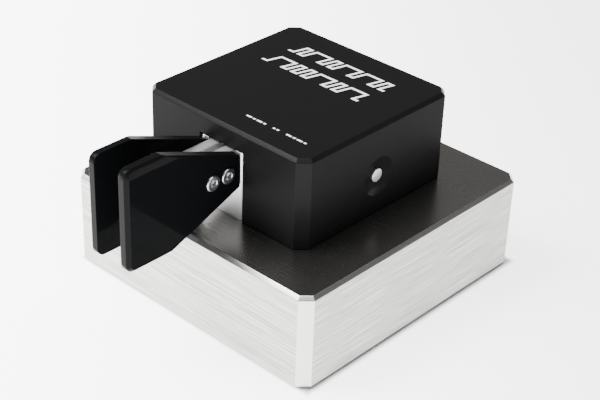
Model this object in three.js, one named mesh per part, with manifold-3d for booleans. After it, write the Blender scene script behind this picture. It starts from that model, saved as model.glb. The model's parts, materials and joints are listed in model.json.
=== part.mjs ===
// Twin-lever Morse key: a heavy steel base, a black housing and two fingerpieces on sprung levers.
// Millimetres, +Z up. The levers point along -Y, +X is the operator's right.
// The origin is on the table, at the centre of the whole key's footprint box.
import * as THREE from 'three';
import { mergeVertices } from 'three/addons/utils/BufferGeometryUtils.js';
import { ConvexGeometry } from 'three/addons/geometries/ConvexGeometry.js';
import Module from 'manifold-3d';

const wasm = await Module();
wasm.setup();

// ---- driving dimensions ----------------------------------------------------------------------

// Base block and its feet
const BASE_WIDTH = 90;
const BASE_DEPTH = 90;
const BASE_HEIGHT = 28;
const BASE_CORNER = 3;
const BASE_EDGE = 1;
const FOOT_RADIUS = 6;
const FOOT_STAND = 1;
const FOOT_RECESS = 1.5;
const FOOT_INSET = 10;
const FOOT_EDGE = 0.4;

// Housing, which sits a little left of the base's centre
const HOUSING_X = -1;
const HOUSING_WIDTH = 60;
const HOUSING_DEPTH = 60;
const HOUSING_HEIGHT = 27;
const HOUSING_CORNER = 3;
const HOUSING_EDGE = 1;
const HOUSING_WALL = 5;
const HOUSING_ROOF = 3.5;
const HOUSING_SEAM = 0.3;
const POST_SIDE = 9;
const HOUSING_SCREW_INSET = 5.5;
const SLOT_WIDTH = 16.2;
const SLOT_HEADROOM = 2.3;

// Lever block, which fills the slot
const BLOCK_CLEARANCE = 0.2;
const BLOCK_TOP_GAP = 0.4;
const BLOCK_LENGTH = 35;
const BLOCK_CHAMFER = 0.8;
const BLOCK_SCREW_FRONT = 6.8;
const BLOCK_SCREW_BEHIND_PIVOT = 6;

// Levers and their pivots
const ARM_THICKNESS = 3.5;
const ARM_HEIGHT = 9.2;
const ARM_GAP = 2;
const ARM_NOSE = 4.2;
const ARM_OVERHANG = 3.8;
const ARM_TAPPED_FLOOR = 0.5;
const ARM_EDGE = 0.3;
const ARM_TOP_GAP = 0.2;
const ARM_SIDE_CLEARANCE = 0.5;
const PIVOT_SETBACK = 16;
const PIVOT_RADIUS = 1;
const PIVOT_SEAT_DEPTH = 6;
const WASHER_RADIUS = 1.7;
const WASHER_THICKNESS = 0.5;
const BRIDGE_DEPTH = 8;
const BRIDGE_THICKNESS = 2;
const BRIDGE_OVERHANG = 1.2;
const STOP_OFFSET = 16;
const STOP_GAP = 0.05;
const STOP_SEAT_DEPTH = 4;

// Return springs of the levers, and the screws that set them
const LEVER_SPRING_RADIUS = 1.3;
const LEVER_SPRING_WIRE = 0.35;
const LEVER_SPRING_TURNS = 3;
const TENSION_SCREW_LENGTH = 1.4;
const TENSION_SOCKET_DEPTH = 0.8;

// Fingerpieces
const PADDLE_THICKNESS = 3;
const PADDLE_HEIGHT = 30;
const PADDLE_LENGTH = 39.2;
const PAD_LENGTH = 12.4;
const PADDLE_NECK_HEIGHT = 9.6;
const PADDLE_CORNER = 2.5;
const PADDLE_HEEL = 4;
const PADDLE_BEVEL = 1;
const NECK_BEVEL = 0.5;
const PADDLE_EASE_HEIGHT = 1.5;
const PADDLE_EASE_DEPTH = 0.3;
const PADDLE_REAR_GAP = 0.3;
const PADDLE_DROP = 0.3;
const PADDLE_SCREW_FIRST = 4.5;
const PADDLE_SCREW_PITCH = 5.5;
const PADDLE_COUNTERBORE = 1;

// Magnets in the lever tails and the sensors below them
const MAGNET_RADIUS = 1.25;
const MAGNET_LENGTH = 2;
const MAGNET_END_GAP = 1.6;
const SENSOR_WIDTH = 3;
const SENSOR_DEPTH = 2.2;
const SENSOR_HEIGHT = 1;

// Push buttons in the dished recesses of the housing's sides
const BUTTON_RADIUS = 2;
const BUTTON_SET_BACK = 0.5;
const BUTTON_EDGE = 0.2;
const BUTTON_FLANGE_RADIUS = 3.2;
const BUTTON_FLANGE_THICKNESS = 1;
const BUTTON_STEM_RADIUS = 1.1;
const BUTTON_STEM_GAP = 0.7;
const BUTTON_CLEARANCE = 0.15;
const BUTTON_SPRING_RADIUS = 2;
const BUTTON_SPRING_WIRE = 0.4;
const BUTTON_SPRING_TURNS = 3.5;
const DISH_RADIUS = 5.8;
const DISH_DEPTH = 1.4;
const SWITCH_SIZE = 6;
const SWITCH_HEIGHT = 5.6;
const SWITCH_SETBACK = 5.5;

// Circuit board and what it carries
const BOARD_THICKNESS = 1.6;
const BOARD_BELOW_ARM = 2.8;
const BOARD_WALL_GAP = 4.5;
const BOARD_WING = 10;
const BOARD_GAP = 0.6;
const STANDOFF_RADIUS = 2.2;
const STANDOFF_STUD_RADIUS = 1.4;
const STANDOFF_STUD_LENGTH = 4;
const STANDOFF_INSET = 3;
const CELL_RADIUS = 8;
const CELL_THICKNESS = 3.2;
const HOLDER_WALL = 0.9;
const HOLDER_ROOF = 1;
const HOLDER_CLEARANCE = 0.1;
const CHIP_SIZE = 7;
const CHIP_HEIGHT = 1.2;
const RELAY_WIDTH = 6.4;
const RELAY_DEPTH = 4.4;
const RELAY_HEIGHT = 2.4;
const RELAY_PITCH = 6;

// Key socket in the rear wall
const JACK_WIDTH = 9;
const JACK_DEPTH = 11;
const JACK_HEIGHT = 9.4;
const JACK_BUSH_RADIUS = 2.95;
const JACK_BUSH_STAND = 2.3;
const JACK_BORE_RADIUS = 1.8;
const JACK_BORE_DEPTH = 14;
const JACK_NUT_RADIUS = 4.4;
const JACK_NUT_THICKNESS = 2;

// Fasteners: radii of shank and head, height of the head, and width across the hexagon socket
const M4 = { shank: 2, head: 3.5, headHeight: 4, socket: 3, socketDepth: 2 };
const M25 = { shank: 1.25, head: 2.25, headHeight: 1.5, socket: 2, socketDepth: 1.1 };
const M2 = { shank: 0.95, head: 1.9, headHeight: 1.2, socket: 1.3, socketDepth: 0.7 };
const HEAD_EDGE_SHARE = 0.15;
const SCREW_POINT = 0.3;
const HEAD_RIM = 0.2;
const COUNTERBORE_CLEARANCE = 0.5;
const COUNTERBORE_DEPTH = 18;
const HOUSING_SCREW_REACH = 8;
const BLOCK_SCREW_REACH = 7;
const BRIDGE_SCREW_REACH = 5;
const BOARD_SCREW_REACH = 4;
const SCREW_TIP_GAP = 0.5;
const ARM_SCREW_SHORT = 1;

// Clearances
const SCREW_CLEARANCE = 0.2;
const THREAD_CLEARANCE = 0.05;
const PRESS_CLEARANCE = 0.02;
const RUNNING_CLEARANCE = 0.05;
const SEAT_CLEARANCE = 0.05;
const FOOT_CLEARANCE = 0.1;

// How far a cutting solid runs past the face that it cuts
const PAST = 1;

// Facets round a full turn
const FINE = 32;
const ROUND = 16;
const SMALL = 12;
const DISH_STEPS = 8;
const CORNER_STEPS = 8;

// ---- levels and lines that follow from the dimensions ----------------------------------------

const baseTop = FOOT_STAND + BASE_HEIGHT;
const housingTop = baseTop + HOUSING_HEIGHT;
const housingFront = -HOUSING_DEPTH / 2;
const housingBack = HOUSING_DEPTH / 2;
const cavityTop = housingTop - HOUSING_ROOF;
const cavityHalfWidth = HOUSING_WIDTH / 2 - HOUSING_WALL;
const cavityHalfDepth = HOUSING_DEPTH / 2 - HOUSING_WALL;
const slotTop = cavityTop - SLOT_HEADROOM;
const blockTop = slotTop - BLOCK_TOP_GAP;
const blockFront = housingFront + BLOCK_CLEARANCE;
const blockBack = blockFront + BLOCK_LENGTH;
const blockHalfWidth = SLOT_WIDTH / 2 - BLOCK_CLEARANCE;
const armTop = blockTop - ARM_TOP_GAP;
const armBottom = armTop - ARM_HEIGHT;
const channelFloor = armBottom - WASHER_THICKNESS;
const armMiddle = ARM_GAP / 2 + ARM_THICKNESS / 2;
const armOutside = ARM_GAP / 2 + ARM_THICKNESS;
const channelHalfWidth = armOutside + ARM_SIDE_CLEARANCE;
const pivotY = housingFront + PIVOT_SETBACK;
const stopY = pivotY + STOP_OFFSET;
const paddleRear = housingFront - PADDLE_REAR_GAP;
const paddleFront = paddleRear - PADDLE_LENGTH;
const leverMiddle = (armTop + armBottom) / 2;
const paddleMiddle = leverMiddle - PADDLE_DROP;
const screwSeat = armOutside + PADDLE_THICKNESS - PADDLE_COUNTERBORE;
const paddleScrewYs = [0, 1].map((i) => paddleRear - PADDLE_SCREW_FIRST - i * PADDLE_SCREW_PITCH);
const armFront = paddleScrewYs[1] - ARM_NOSE;
const armBack = blockBack + ARM_OVERHANG;
const boardTop = armBottom - BOARD_BELOW_ARM;
const boardBottom = boardTop - BOARD_THICKNESS;
const buttonZ = boardTop + SWITCH_HEIGHT / 2;
const boardHalfWidth = cavityHalfWidth - BOARD_WALL_GAP;
const boardBack = cavityHalfDepth - BOARD_WALL_GAP;
const boardNotch = blockHalfWidth + BOARD_GAP;
const boardInner = blockBack + BOARD_GAP;
const switchFace = cavityHalfWidth - SWITCH_SETBACK;
const counterboreTop = FOOT_STAND + COUNTERBORE_DEPTH;
const jackZ = boardTop + JACK_HEIGHT / 2;
const footprintMiddle = (paddleFront + BASE_DEPTH / 2) / 2;
const bridgeScrewX = (channelHalfWidth + blockHalfWidth) / 2;
const stopRadius = ARM_GAP / 2 - STOP_GAP;
const springHole = LEVER_SPRING_RADIUS + LEVER_SPRING_WIRE / 2 + SCREW_CLEARANCE;
const springSeat = blockHalfWidth - TENSION_SCREW_LENGTH;
const magnetY = armBack - MAGNET_END_GAP;

// Every screw that comes up through the base
const housingScrewSpots = [[-1, -1], [1, -1], [-1, 1], [1, 1]]
  .map(([sx, sy]) => [HOUSING_X + sx * (HOUSING_WIDTH / 2 - HOUSING_SCREW_INSET),
    sy * (HOUSING_DEPTH / 2 - HOUSING_SCREW_INSET)]);
const blockScrewSpots = [blockFront + BLOCK_SCREW_FRONT, pivotY + BLOCK_SCREW_BEHIND_PIVOT]
  .map((y) => [HOUSING_X, y]);
const standoffSpots = [-BOARD_WING + STANDOFF_INSET, boardBack - STANDOFF_INSET]
  .flatMap((y) => [-1, 1].map((sx) => [HOUSING_X + sx * (boardHalfWidth - STANDOFF_INSET), y]));
const footSpots = [[-1, -1], [1, -1], [-1, 1], [1, 1]]
  .map(([sx, sy]) => [sx * (BASE_WIDTH / 2 - FOOT_INSET), sy * (BASE_DEPTH / 2 - FOOT_INSET)]);
const cornerNames = ['front_left', 'front_right', 'rear_left', 'rear_right'];

// ---- solids and shapes -----------------------------------------------------------------------

// A closed three.js geometry as a solid that can be cut and joined
function solid(geometry) {
  const bare = geometry.clone();
  bare.deleteAttribute('normal');
  bare.deleteAttribute('uv');
  const merged = mergeVertices(bare, 1e-4);
  const corners = merged.index.array;
  const kept = [];
  for (let i = 0; i < corners.length; i += 3) {
    const [a, b, c] = corners.slice(i, i + 3);
    if (a !== b && b !== c && c !== a) kept.push(a, b, c);
  }
  return new wasm.Manifold(new wasm.Mesh({
    numProp: 3,
    vertProperties: merged.attributes.position.array,
    triVerts: new Uint32Array(kept),
  }));
}

// A cut or joined solid as a three.js geometry again
function geometryOf(body) {
  const mesh = body.getMesh();
  const geometry = new THREE.BufferGeometry();
  geometry.setAttribute('position', new THREE.BufferAttribute(mesh.vertProperties, 3));
  geometry.setIndex(new THREE.BufferAttribute(mesh.triVerts, 1));
  return geometry;
}

function without(body, cuts) {
  return cuts.reduce((rest, cut) => rest.subtract(cut), body);
}

// A box between two corners
function box(low, high) {
  const size = high.map((value, i) => value - low[i]);
  const geometry = new THREE.BoxGeometry(...size);
  geometry.translate(...low.map((value, i) => value + size[i] / 2));
  return geometry;
}

// An upright cylinder from one level to another
function rod(x, y, bottom, top, radius, facets) {
  const geometry = new THREE.CylinderGeometry(radius, radius, top - bottom, facets);
  geometry.rotateX(Math.PI / 2);
  geometry.translate(x, y, (bottom + top) / 2);
  return geometry;
}

// An upright prism over an outline of [x, y] points
function prism(outline, bottom, top) {
  const shape = new THREE.Shape(outline.map(([x, y]) => new THREE.Vector2(x, y)));
  return new THREE.ExtrudeGeometry(shape, { depth: top - bottom, bevelEnabled: false })
    .translate(0, 0, bottom);
}

// A cylinder along the Y axis, from one depth to another
function lying(radius, front, back, facets) {
  return new THREE.CylinderGeometry(radius, radius, back - front, facets)
    .translate(0, (front + back) / 2, 0);
}

// A turned piece about the Z axis, from [radius, height] points that start and end on the axis
// or run round a closed ring
function turned(points, facets) {
  return new THREE.LatheGeometry(points.map(([r, h]) => new THREE.Vector2(r, h)), facets)
    .rotateX(Math.PI / 2);
}

// A block with cut corners and a chamfered top edge, standing on z = bottom
function chamferedBlock(width, depth, bottom, top, corner, edge, foot) {
  const points = [];
  const ring = (inset, z) => {
    const x = width / 2 - inset;
    const y = depth / 2 - inset;
    const c = corner - inset * (2 - Math.SQRT2);
    for (const [px, py] of [[x - c, y], [x, y - c]]) {
      for (const sx of [-1, 1]) {
        for (const sy of [-1, 1]) points.push(new THREE.Vector3(sx * px, sy * py, z));
      }
    }
  };
  ring(foot, bottom);
  if (foot > 0) ring(0, bottom + foot);
  ring(0, top - edge);
  ring(edge, top);
  return new ConvexGeometry(points);
}

// A close coil along +X from x = 0, with its ends a gap short of the given length
function coil(radius, wire, turns, length) {
  class Helix extends THREE.Curve {
    getPoint(t, target = new THREE.Vector3()) {
      const turn = 2 * Math.PI * turns * t;
      const x = wire / 2 + SEAT_CLEARANCE + t * (length - wire - 2 * SEAT_CLEARANCE);
      return target.set(x, radius * Math.cos(turn), radius * Math.sin(turn));
    }
  }
  const section = new THREE.Shape();
  section.absarc(0, 0, wire / 2, 0, 2 * Math.PI);
  return new THREE.ExtrudeGeometry(section, {
    extrudePath: new Helix(),
    steps: Math.round(turns * SMALL),
    curveSegments: 3,
  });
}

// The tool for a screw's hexagon socket, centred on the face of the head
function hexagon(size) {
  const corner = size.socket / Math.sqrt(3);
  return new THREE.CylinderGeometry(corner, corner, 2 * size.socketDepth, 6).rotateX(Math.PI / 2);
}

// A screw with its head's underside at z = 0, the shank going up and the socket opening down
function capScrew(size, length) {
  const top = HEAD_EDGE_SHARE * size.headHeight;
  const body = solid(turned([[0, -size.headHeight], [size.head - top, -size.headHeight],
    [size.head, top - size.headHeight], [size.head, 0], [size.shank, 0],
    [size.shank, length - SCREW_POINT], [size.shank - SCREW_POINT, length], [0, length]], ROUND));
  return geometryOf(body.subtract(solid(hexagon(size).translate(0, 0, -size.headHeight))));
}

// A countersunk screw with its flat head at z = 0, the shank going down
function flatScrew(size, length) {
  const body = solid(turned([[0, -length], [size.shank - SCREW_POINT, -length],
    [size.shank, SCREW_POINT - length], [size.shank, -size.headHeight], [size.head, -HEAD_RIM],
    [size.head, 0], [0, 0]], ROUND));
  return geometryOf(body.subtract(solid(hexagon(size))));
}

// The hole that a countersunk screw needs, with its mouth at z = 0
function flatScrewHole(size, depth) {
  const r = size.shank + THREAD_CLEARANCE;
  const mouth = size.head + SCREW_CLEARANCE;
  return turned([[0, -depth], [r, -depth], [r, r - mouth - HEAD_RIM], [mouth, -HEAD_RIM],
    [mouth, PAST], [0, PAST]], ROUND);
}

// ---- materials and the scene -----------------------------------------------------------------

const FINISH = {
  steel: [0xdcdad4, 0.35, 1],
  blackAnodised: [0x1b1b1d, 0.45, 0.4],
  satinAluminium: [0xd4d5d6, 0.35, 1],
  smokedAcrylic: [0x101214, 0.08, 0],
  zinc: [0xb9bdc2, 0.25, 1],
  nickel: [0xd8d8d4, 0.2, 1],
  spring: [0xa9aaac, 0.3, 1],
  brass: [0xc6a35a, 0.35, 1],
  nylon: [0xe8e4d8, 0.6, 0],
  rubber: [0x161616, 0.9, 0],
  board: [0x1e5a38, 0.5, 0],
  blackPlastic: [0x1a1a1c, 0.55, 0],
};

const key = new THREE.Group();
const head = new THREE.Group();
key.add(head);
key.position.y = -footprintMiddle;
head.position.x = HOUSING_X;

function add(parent, name, finish, geometry) {
  const [color, roughness, metalness] = FINISH[finish];
  const material = new THREE.MeshStandardMaterial({ color, roughness, metalness });
  const mesh = new THREE.Mesh(geometry, material);
  mesh.name = name;
  parent.add(mesh);
  return mesh;
}

// ---- base block and feet ---------------------------------------------------------------------

function baseBlock() {
  const block = solid(chamferedBlock(BASE_WIDTH, BASE_DEPTH, FOOT_STAND, baseTop,
    BASE_CORNER, BASE_EDGE, 0));
  const below = FOOT_STAND - PAST;
  const cuts = [];
  for (const [x, y] of [...housingScrewSpots, ...blockScrewSpots]) {
    cuts.push(solid(rod(x, y, below, counterboreTop, M4.head + COUNTERBORE_CLEARANCE, ROUND)));
    cuts.push(solid(rod(x, y, below, baseTop + PAST, M4.shank + SCREW_CLEARANCE, ROUND)));
  }
  for (const [x, y] of footSpots) {
    cuts.push(solid(rod(x, y, below, FOOT_STAND + FOOT_RECESS, FOOT_RADIUS + FOOT_CLEARANCE, FINE)));
  }
  for (const [x, y] of standoffSpots) {
    cuts.push(solid(rod(x, y, baseTop - STANDOFF_STUD_LENGTH - SCREW_TIP_GAP, baseTop + PAST,
      STANDOFF_STUD_RADIUS + THREAD_CLEARANCE, SMALL)));
  }
  return geometryOf(without(block, cuts));
}

// A rubber foot with a softened lower edge
function foot() {
  return turned([[0, 0], [FOOT_RADIUS - FOOT_EDGE, 0], [FOOT_RADIUS, FOOT_EDGE],
    [FOOT_RADIUS, FOOT_STAND + FOOT_RECESS], [0, FOOT_STAND + FOOT_RECESS]], FINE);
}

add(key, 'base_block', 'steel', baseBlock());
footSpots.forEach(([x, y], i) => {
  add(key, `foot_${cornerNames[i]}`, 'rubber', foot()).position.set(x, y, 0);
});

// ---- housing ---------------------------------------------------------------------------------

// The tool that mills one side's dish and its button hole: side is -1 for left and 1 for right
function buttonCut(side) {
  const sphere = (DISH_RADIUS ** 2 + DISH_DEPTH ** 2) / (2 * DISH_DEPTH);
  const half = Math.asin(DISH_RADIUS / sphere);
  const points = [];
  for (let i = 0; i <= DISH_STEPS; i += 1) {
    const angle = half * i / DISH_STEPS;
    points.push([sphere * Math.sin(angle), sphere - DISH_DEPTH - sphere * Math.cos(angle)]);
  }
  points[0][0] = 0;
  points.push([DISH_RADIUS, PAST], [0, PAST]);
  const dish = solid(turned(points, FINE));
  const hole = solid(rod(0, 0, -HOUSING_WALL - PAST, PAST, BUTTON_RADIUS + BUTTON_CLEARANCE, FINE));
  const turn = side > 0 ? [0, 90, 0] : [0, -90, 0];
  return dish.add(hole).rotate(turn).translate([side * HOUSING_WIDTH / 2, 0, buttonZ]);
}

function housing() {
  const block = solid(chamferedBlock(HOUSING_WIDTH, HOUSING_DEPTH, baseTop, housingTop,
    HOUSING_CORNER, HOUSING_EDGE, HOUSING_SEAM));
  const below = baseTop - PAST;
  const wide = cavityHalfWidth;
  const deep = cavityHalfDepth;
  const postX = HOUSING_WIDTH / 2 - POST_SIDE;
  const postY = HOUSING_DEPTH / 2 - POST_SIDE;
  const cavity = solid(box([-wide, -postY, below], [wide, postY, cavityTop]))
    .add(solid(box([-postX, -deep, below], [postX, deep, cavityTop])));
  const slot = solid(box([-SLOT_WIDTH / 2, housingFront - PAST, below],
    [SLOT_WIDTH / 2, housingFront + HOUSING_WALL + PAST, slotTop]));
  const jack = solid(lying(JACK_BUSH_RADIUS + SCREW_CLEARANCE,
    housingBack - HOUSING_WALL - PAST, housingBack + PAST, ROUND).translate(0, 0, jackZ));
  const threads = housingScrewSpots.map(([x, y]) => solid(rod(x - HOUSING_X, y, below,
    baseTop + HOUSING_SCREW_REACH + SCREW_TIP_GAP, M4.shank + THREAD_CLEARANCE, ROUND)));
  return geometryOf(without(block, [cavity, slot, jack, buttonCut(-1), buttonCut(1), ...threads]));
}

add(head, 'housing', 'blackAnodised', housing());
housingScrewSpots.forEach(([x, y], i) => {
  const length = baseTop - counterboreTop + HOUSING_SCREW_REACH;
  add(key, `housing_screw_${cornerNames[i]}`, 'zinc', capScrew(M4, length))
    .position.set(x, y, counterboreTop);
});

// ---- lever block, pivots and springs ---------------------------------------------------------

function leverBlock() {
  const half = blockHalfWidth;
  const c = BLOCK_CHAMFER;
  const body = solid(prism([[-half + c, blockFront], [half - c, blockFront], [half, blockFront + c],
    [half, blockBack], [-half, blockBack], [-half, blockFront + c]], baseTop, blockTop));
  const cuts = [solid(box([-channelHalfWidth, blockFront - PAST, channelFloor],
    [channelHalfWidth, blockBack + PAST, blockTop + PAST]))];
  for (const side of [-1, 1]) {
    cuts.push(solid(rod(side * armMiddle, pivotY, channelFloor - PIVOT_SEAT_DEPTH, blockTop,
      PIVOT_RADIUS + PRESS_CLEARANCE, ROUND)));
    cuts.push(solid(rod(side * bridgeScrewX, pivotY, blockTop - BRIDGE_SCREW_REACH - SCREW_TIP_GAP,
      blockTop + PAST, M2.shank + THREAD_CLEARANCE, ROUND)));
  }
  cuts.push(solid(rod(0, stopY, channelFloor - STOP_SEAT_DEPTH, blockTop, stopRadius + PRESS_CLEARANCE,
    SMALL)));
  cuts.push(solid(lying(springHole, -half - PAST, half + PAST, ROUND)
    .rotateZ(Math.PI / 2).translate(0, stopY, leverMiddle)));
  for (const [, y] of blockScrewSpots) {
    cuts.push(solid(rod(0, y, baseTop - PAST, baseTop + BLOCK_SCREW_REACH + SCREW_TIP_GAP,
      M4.shank + THREAD_CLEARANCE, ROUND)));
  }
  return geometryOf(without(body, cuts));
}

add(head, 'lever_block', 'satinAluminium', leverBlock());
blockScrewSpots.forEach(([x, y], i) => {
  const length = baseTop - counterboreTop + BLOCK_SCREW_REACH;
  add(key, `block_screw_${['front', 'rear'][i]}`, 'zinc', capScrew(M4, length))
    .position.set(x, y, counterboreTop);
});

// The plate over the channel that holds the tops of the pivot pins
function pivotBridge() {
  const halfWidth = blockHalfWidth + BRIDGE_OVERHANG;
  const strip = solid(box([-halfWidth, pivotY - BRIDGE_DEPTH / 2, blockTop],
    [halfWidth, pivotY + BRIDGE_DEPTH / 2, blockTop + BRIDGE_THICKNESS]));
  const cuts = [];
  for (const side of [-1, 1]) {
    cuts.push(solid(rod(side * armMiddle, pivotY, blockTop - PAST, blockTop + BRIDGE_THICKNESS + PAST,
      PIVOT_RADIUS + PRESS_CLEARANCE, ROUND)));
    cuts.push(solid(flatScrewHole(M2, BRIDGE_THICKNESS + PAST)
      .translate(side * bridgeScrewX, pivotY, blockTop + BRIDGE_THICKNESS)));
  }
  return geometryOf(without(strip, cuts));
}

// A ring that the lever turns on, clear of its pivot pin
function thrustWasher() {
  const inner = PIVOT_RADIUS + RUNNING_CLEARANCE;
  return turned([[inner, 0], [WASHER_RADIUS, 0], [WASHER_RADIUS, WASHER_THICKNESS],
    [inner, WASHER_THICKNESS], [inner, 0]], ROUND);
}

// A headless screw with a hexagon socket, lying along +X from x = 0
function tensionScrew() {
  const body = solid(lying(springHole - THREAD_CLEARANCE, -TENSION_SCREW_LENGTH, 0, ROUND));
  const corner = M2.socket / Math.sqrt(3);
  const socket = solid(lying(corner, -TENSION_SCREW_LENGTH - PAST,
    TENSION_SOCKET_DEPTH - TENSION_SCREW_LENGTH, 6));
  return geometryOf(body.subtract(socket).rotate([0, 0, 90]));
}

add(head, 'pivot_bridge', 'satinAluminium', pivotBridge());
add(head, 'stop_pin', 'steel', rod(0, stopY, channelFloor - STOP_SEAT_DEPTH, armTop, stopRadius, SMALL));

// ---- levers: arm, fingerpiece, screws and magnet ---------------------------------------------

// The arm of the right lever, with its pivot bore, two tapped holes and a pocket for the magnet
function arm() {
  const e = ARM_EDGE;
  const left = ARM_GAP / 2;
  const right = armOutside;
  const section = [[left + e, armBottom], [right - e, armBottom], [right, armBottom + e],
    [right, armTop - e], [right - e, armTop], [left + e, armTop], [left, armTop - e],
    [left, armBottom + e]];
  const bar = solid(prism(section, armFront, armBack)
    .translate(0, 0, -armFront - armBack).rotateX(Math.PI / 2));
  const cuts = [
    solid(rod(armMiddle, pivotY, armBottom - PAST, armTop + PAST,
      PIVOT_RADIUS + RUNNING_CLEARANCE, ROUND)),
    solid(rod(armMiddle, magnetY, armBottom - PAST, armBottom + MAGNET_LENGTH + PRESS_CLEARANCE,
      MAGNET_RADIUS + PRESS_CLEARANCE, ROUND)),
  ];
  for (const y of paddleScrewYs) {
    cuts.push(solid(lying(M25.shank + THREAD_CLEARANCE, -right - PAST, -left - ARM_TAPPED_FLOOR, SMALL)
      .rotateZ(Math.PI / 2).translate(0, y, leverMiddle)));
  }
  return without(bar, cuts);
}

// The shovel-shaped outline of a fingerpiece, as [y, z] about its middle height, front at y = 0
function paddleOutline(grow) {
  const top = PADDLE_HEIGHT / 2;
  const neck = PADDLE_NECK_HEIGHT / 2;
  const r = PADDLE_CORNER;
  const rear = PADDLE_LENGTH;
  const slope = Math.atan2(top - neck, rear - PAD_LENGTH);
  const heel = PADDLE_HEEL * Math.tan(slope / 2);
  const shape = new THREE.Shape();
  shape.moveTo(r, -top);
  if (grow > 0) {
    shape.lineTo(rear + grow, -top);
    shape.lineTo(rear + grow, top);
  } else {
    shape.lineTo(PAD_LENGTH - heel, -top);
    shape.absarc(PAD_LENGTH - heel, -top + PADDLE_HEEL, PADDLE_HEEL, -Math.PI / 2, -Math.PI / 2 + slope);
    shape.lineTo(rear, -neck);
    shape.lineTo(rear, neck);
    shape.lineTo(PAD_LENGTH, top);
  }
  shape.lineTo(r, top);
  shape.absarc(r, top - r, r, Math.PI / 2, Math.PI);
  shape.lineTo(0, -top + r);
  shape.absarc(r, -top + r, r, Math.PI, 1.5 * Math.PI);
  return shape;
}

// An extrusion of a [y, z] outline with its thickness along +X
function plate(shape, depth, bevel) {
  const geometry = new THREE.ExtrudeGeometry(shape, {
    depth: depth - 2 * bevel,
    curveSegments: CORNER_STEPS,
    bevelEnabled: bevel > 0,
    bevelSize: bevel,
    bevelOffset: -bevel,
    bevelThickness: bevel,
    bevelSegments: 1,
  });
  geometry.translate(0, 0, bevel);
  return geometry.rotateX(Math.PI / 2).rotateZ(Math.PI / 2);
}

// The right fingerpiece: its outer face has a bevel round the pad, a flatter one along the top
function fingerpiece() {
  const outside = armOutside + PADDLE_THICKNESS;
  const deep = 4 * PADDLE_THICKNESS;
  const raw = solid(plate(paddleOutline(0), PADDLE_THICKNESS, 0).translate(armOutside, 0, 0));
  const bevelled = solid(plate(paddleOutline(PADDLE_LENGTH), deep, PADDLE_BEVEL)
    .translate(outside - deep, 0, 0));
  const cuts = [];
  const easeAngle = Math.atan2(PADDLE_EASE_DEPTH, PADDLE_EASE_HEIGHT);
  const easeLow = PADDLE_HEIGHT / 2 - PADDLE_BEVEL - PADDLE_EASE_HEIGHT;
  cuts.push(solid(box([0, -PAST, 0], [PADDLE_THICKNESS, PADDLE_LENGTH + PAST, PADDLE_THICKNESS])
    .rotateY(-easeAngle).translate(outside, 0, easeLow)));
  const rise = PADDLE_HEIGHT / 2 - PADDLE_NECK_HEIGHT / 2;
  const slope = Math.atan2(rise, PADDLE_LENGTH - PAD_LENGTH);
  cuts.push(solid(box([0, -PADDLE_HEEL, -PADDLE_THICKNESS],
    [PADDLE_THICKNESS, 2 * PADDLE_LENGTH, PADDLE_THICKNESS])
    .rotateY(-Math.PI / 4).translate(-NECK_BEVEL / 2, 0, -NECK_BEVEL / 2).rotateX(-slope)
    .translate(outside, PAD_LENGTH, PADDLE_HEIGHT / 2)));
  for (const y of paddleScrewYs) {
    const hole = lying(M25.shank + SCREW_CLEARANCE, -outside - PAST, -armOutside + PAST, ROUND);
    const seat = lying(M25.head + SCREW_CLEARANCE, -outside - PAST, -screwSeat, ROUND);
    for (const tool of [hole, seat]) {
      cuts.push(solid(tool.rotateZ(Math.PI / 2).translate(0, y - paddleFront, PADDLE_DROP)));
    }
  }
  return without(raw.intersect(bevelled), cuts).translate([0, paddleFront, paddleMiddle]);
}

const screwLength = screwSeat - ARM_GAP / 2 - ARM_SCREW_SHORT;
const sides = [['left', -1], ['right', 1]];
for (const [name, side] of sides) {
  const mirrored = (body) => geometryOf(side > 0 ? body : body.mirror([1, 0, 0]));
  add(head, `pivot_pin_${name}`, 'steel', rod(side * armMiddle, pivotY,
    channelFloor - PIVOT_SEAT_DEPTH, blockTop + BRIDGE_THICKNESS, PIVOT_RADIUS, ROUND));
  add(head, `thrust_washer_${name}`, 'nylon', thrustWasher())
    .position.set(side * armMiddle, pivotY, channelFloor);
  add(head, `bridge_screw_${name}`, 'zinc', flatScrew(M2, BRIDGE_THICKNESS + BRIDGE_SCREW_REACH))
    .position.set(side * bridgeScrewX, pivotY, blockTop + BRIDGE_THICKNESS);
  add(head, `arm_${name}`, 'satinAluminium', mirrored(arm()));
  add(head, `fingerpiece_${name}`, 'smokedAcrylic', mirrored(fingerpiece()));
  paddleScrewYs.forEach((y, i) => {
    const screw = add(head, `fingerpiece_screw_${name}_${['rear', 'front'][i]}`, 'nickel',
      capScrew(M25, screwLength));
    screw.position.set(side * screwSeat, y, leverMiddle);
    screw.rotation.y = -side * Math.PI / 2;
  });
  add(head, `magnet_${name}`, 'nickel', rod(side * armMiddle, magnetY, armBottom,
    armBottom + MAGNET_LENGTH, MAGNET_RADIUS, ROUND));
  const spring = add(head, `lever_spring_${name}`, 'spring',
    coil(LEVER_SPRING_RADIUS, LEVER_SPRING_WIRE, LEVER_SPRING_TURNS, springSeat - armOutside));
  spring.position.set(side * armOutside, stopY, leverMiddle);
  spring.rotation.z = side > 0 ? 0 : Math.PI;
  const screw = add(head, `tension_screw_${name}`, 'zinc', tensionScrew());
  screw.position.set(side * springSeat, stopY, leverMiddle);
  screw.rotation.z = side > 0 ? 0 : Math.PI;
}

// ---- circuit board, sensors and cell ---------------------------------------------------------

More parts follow.
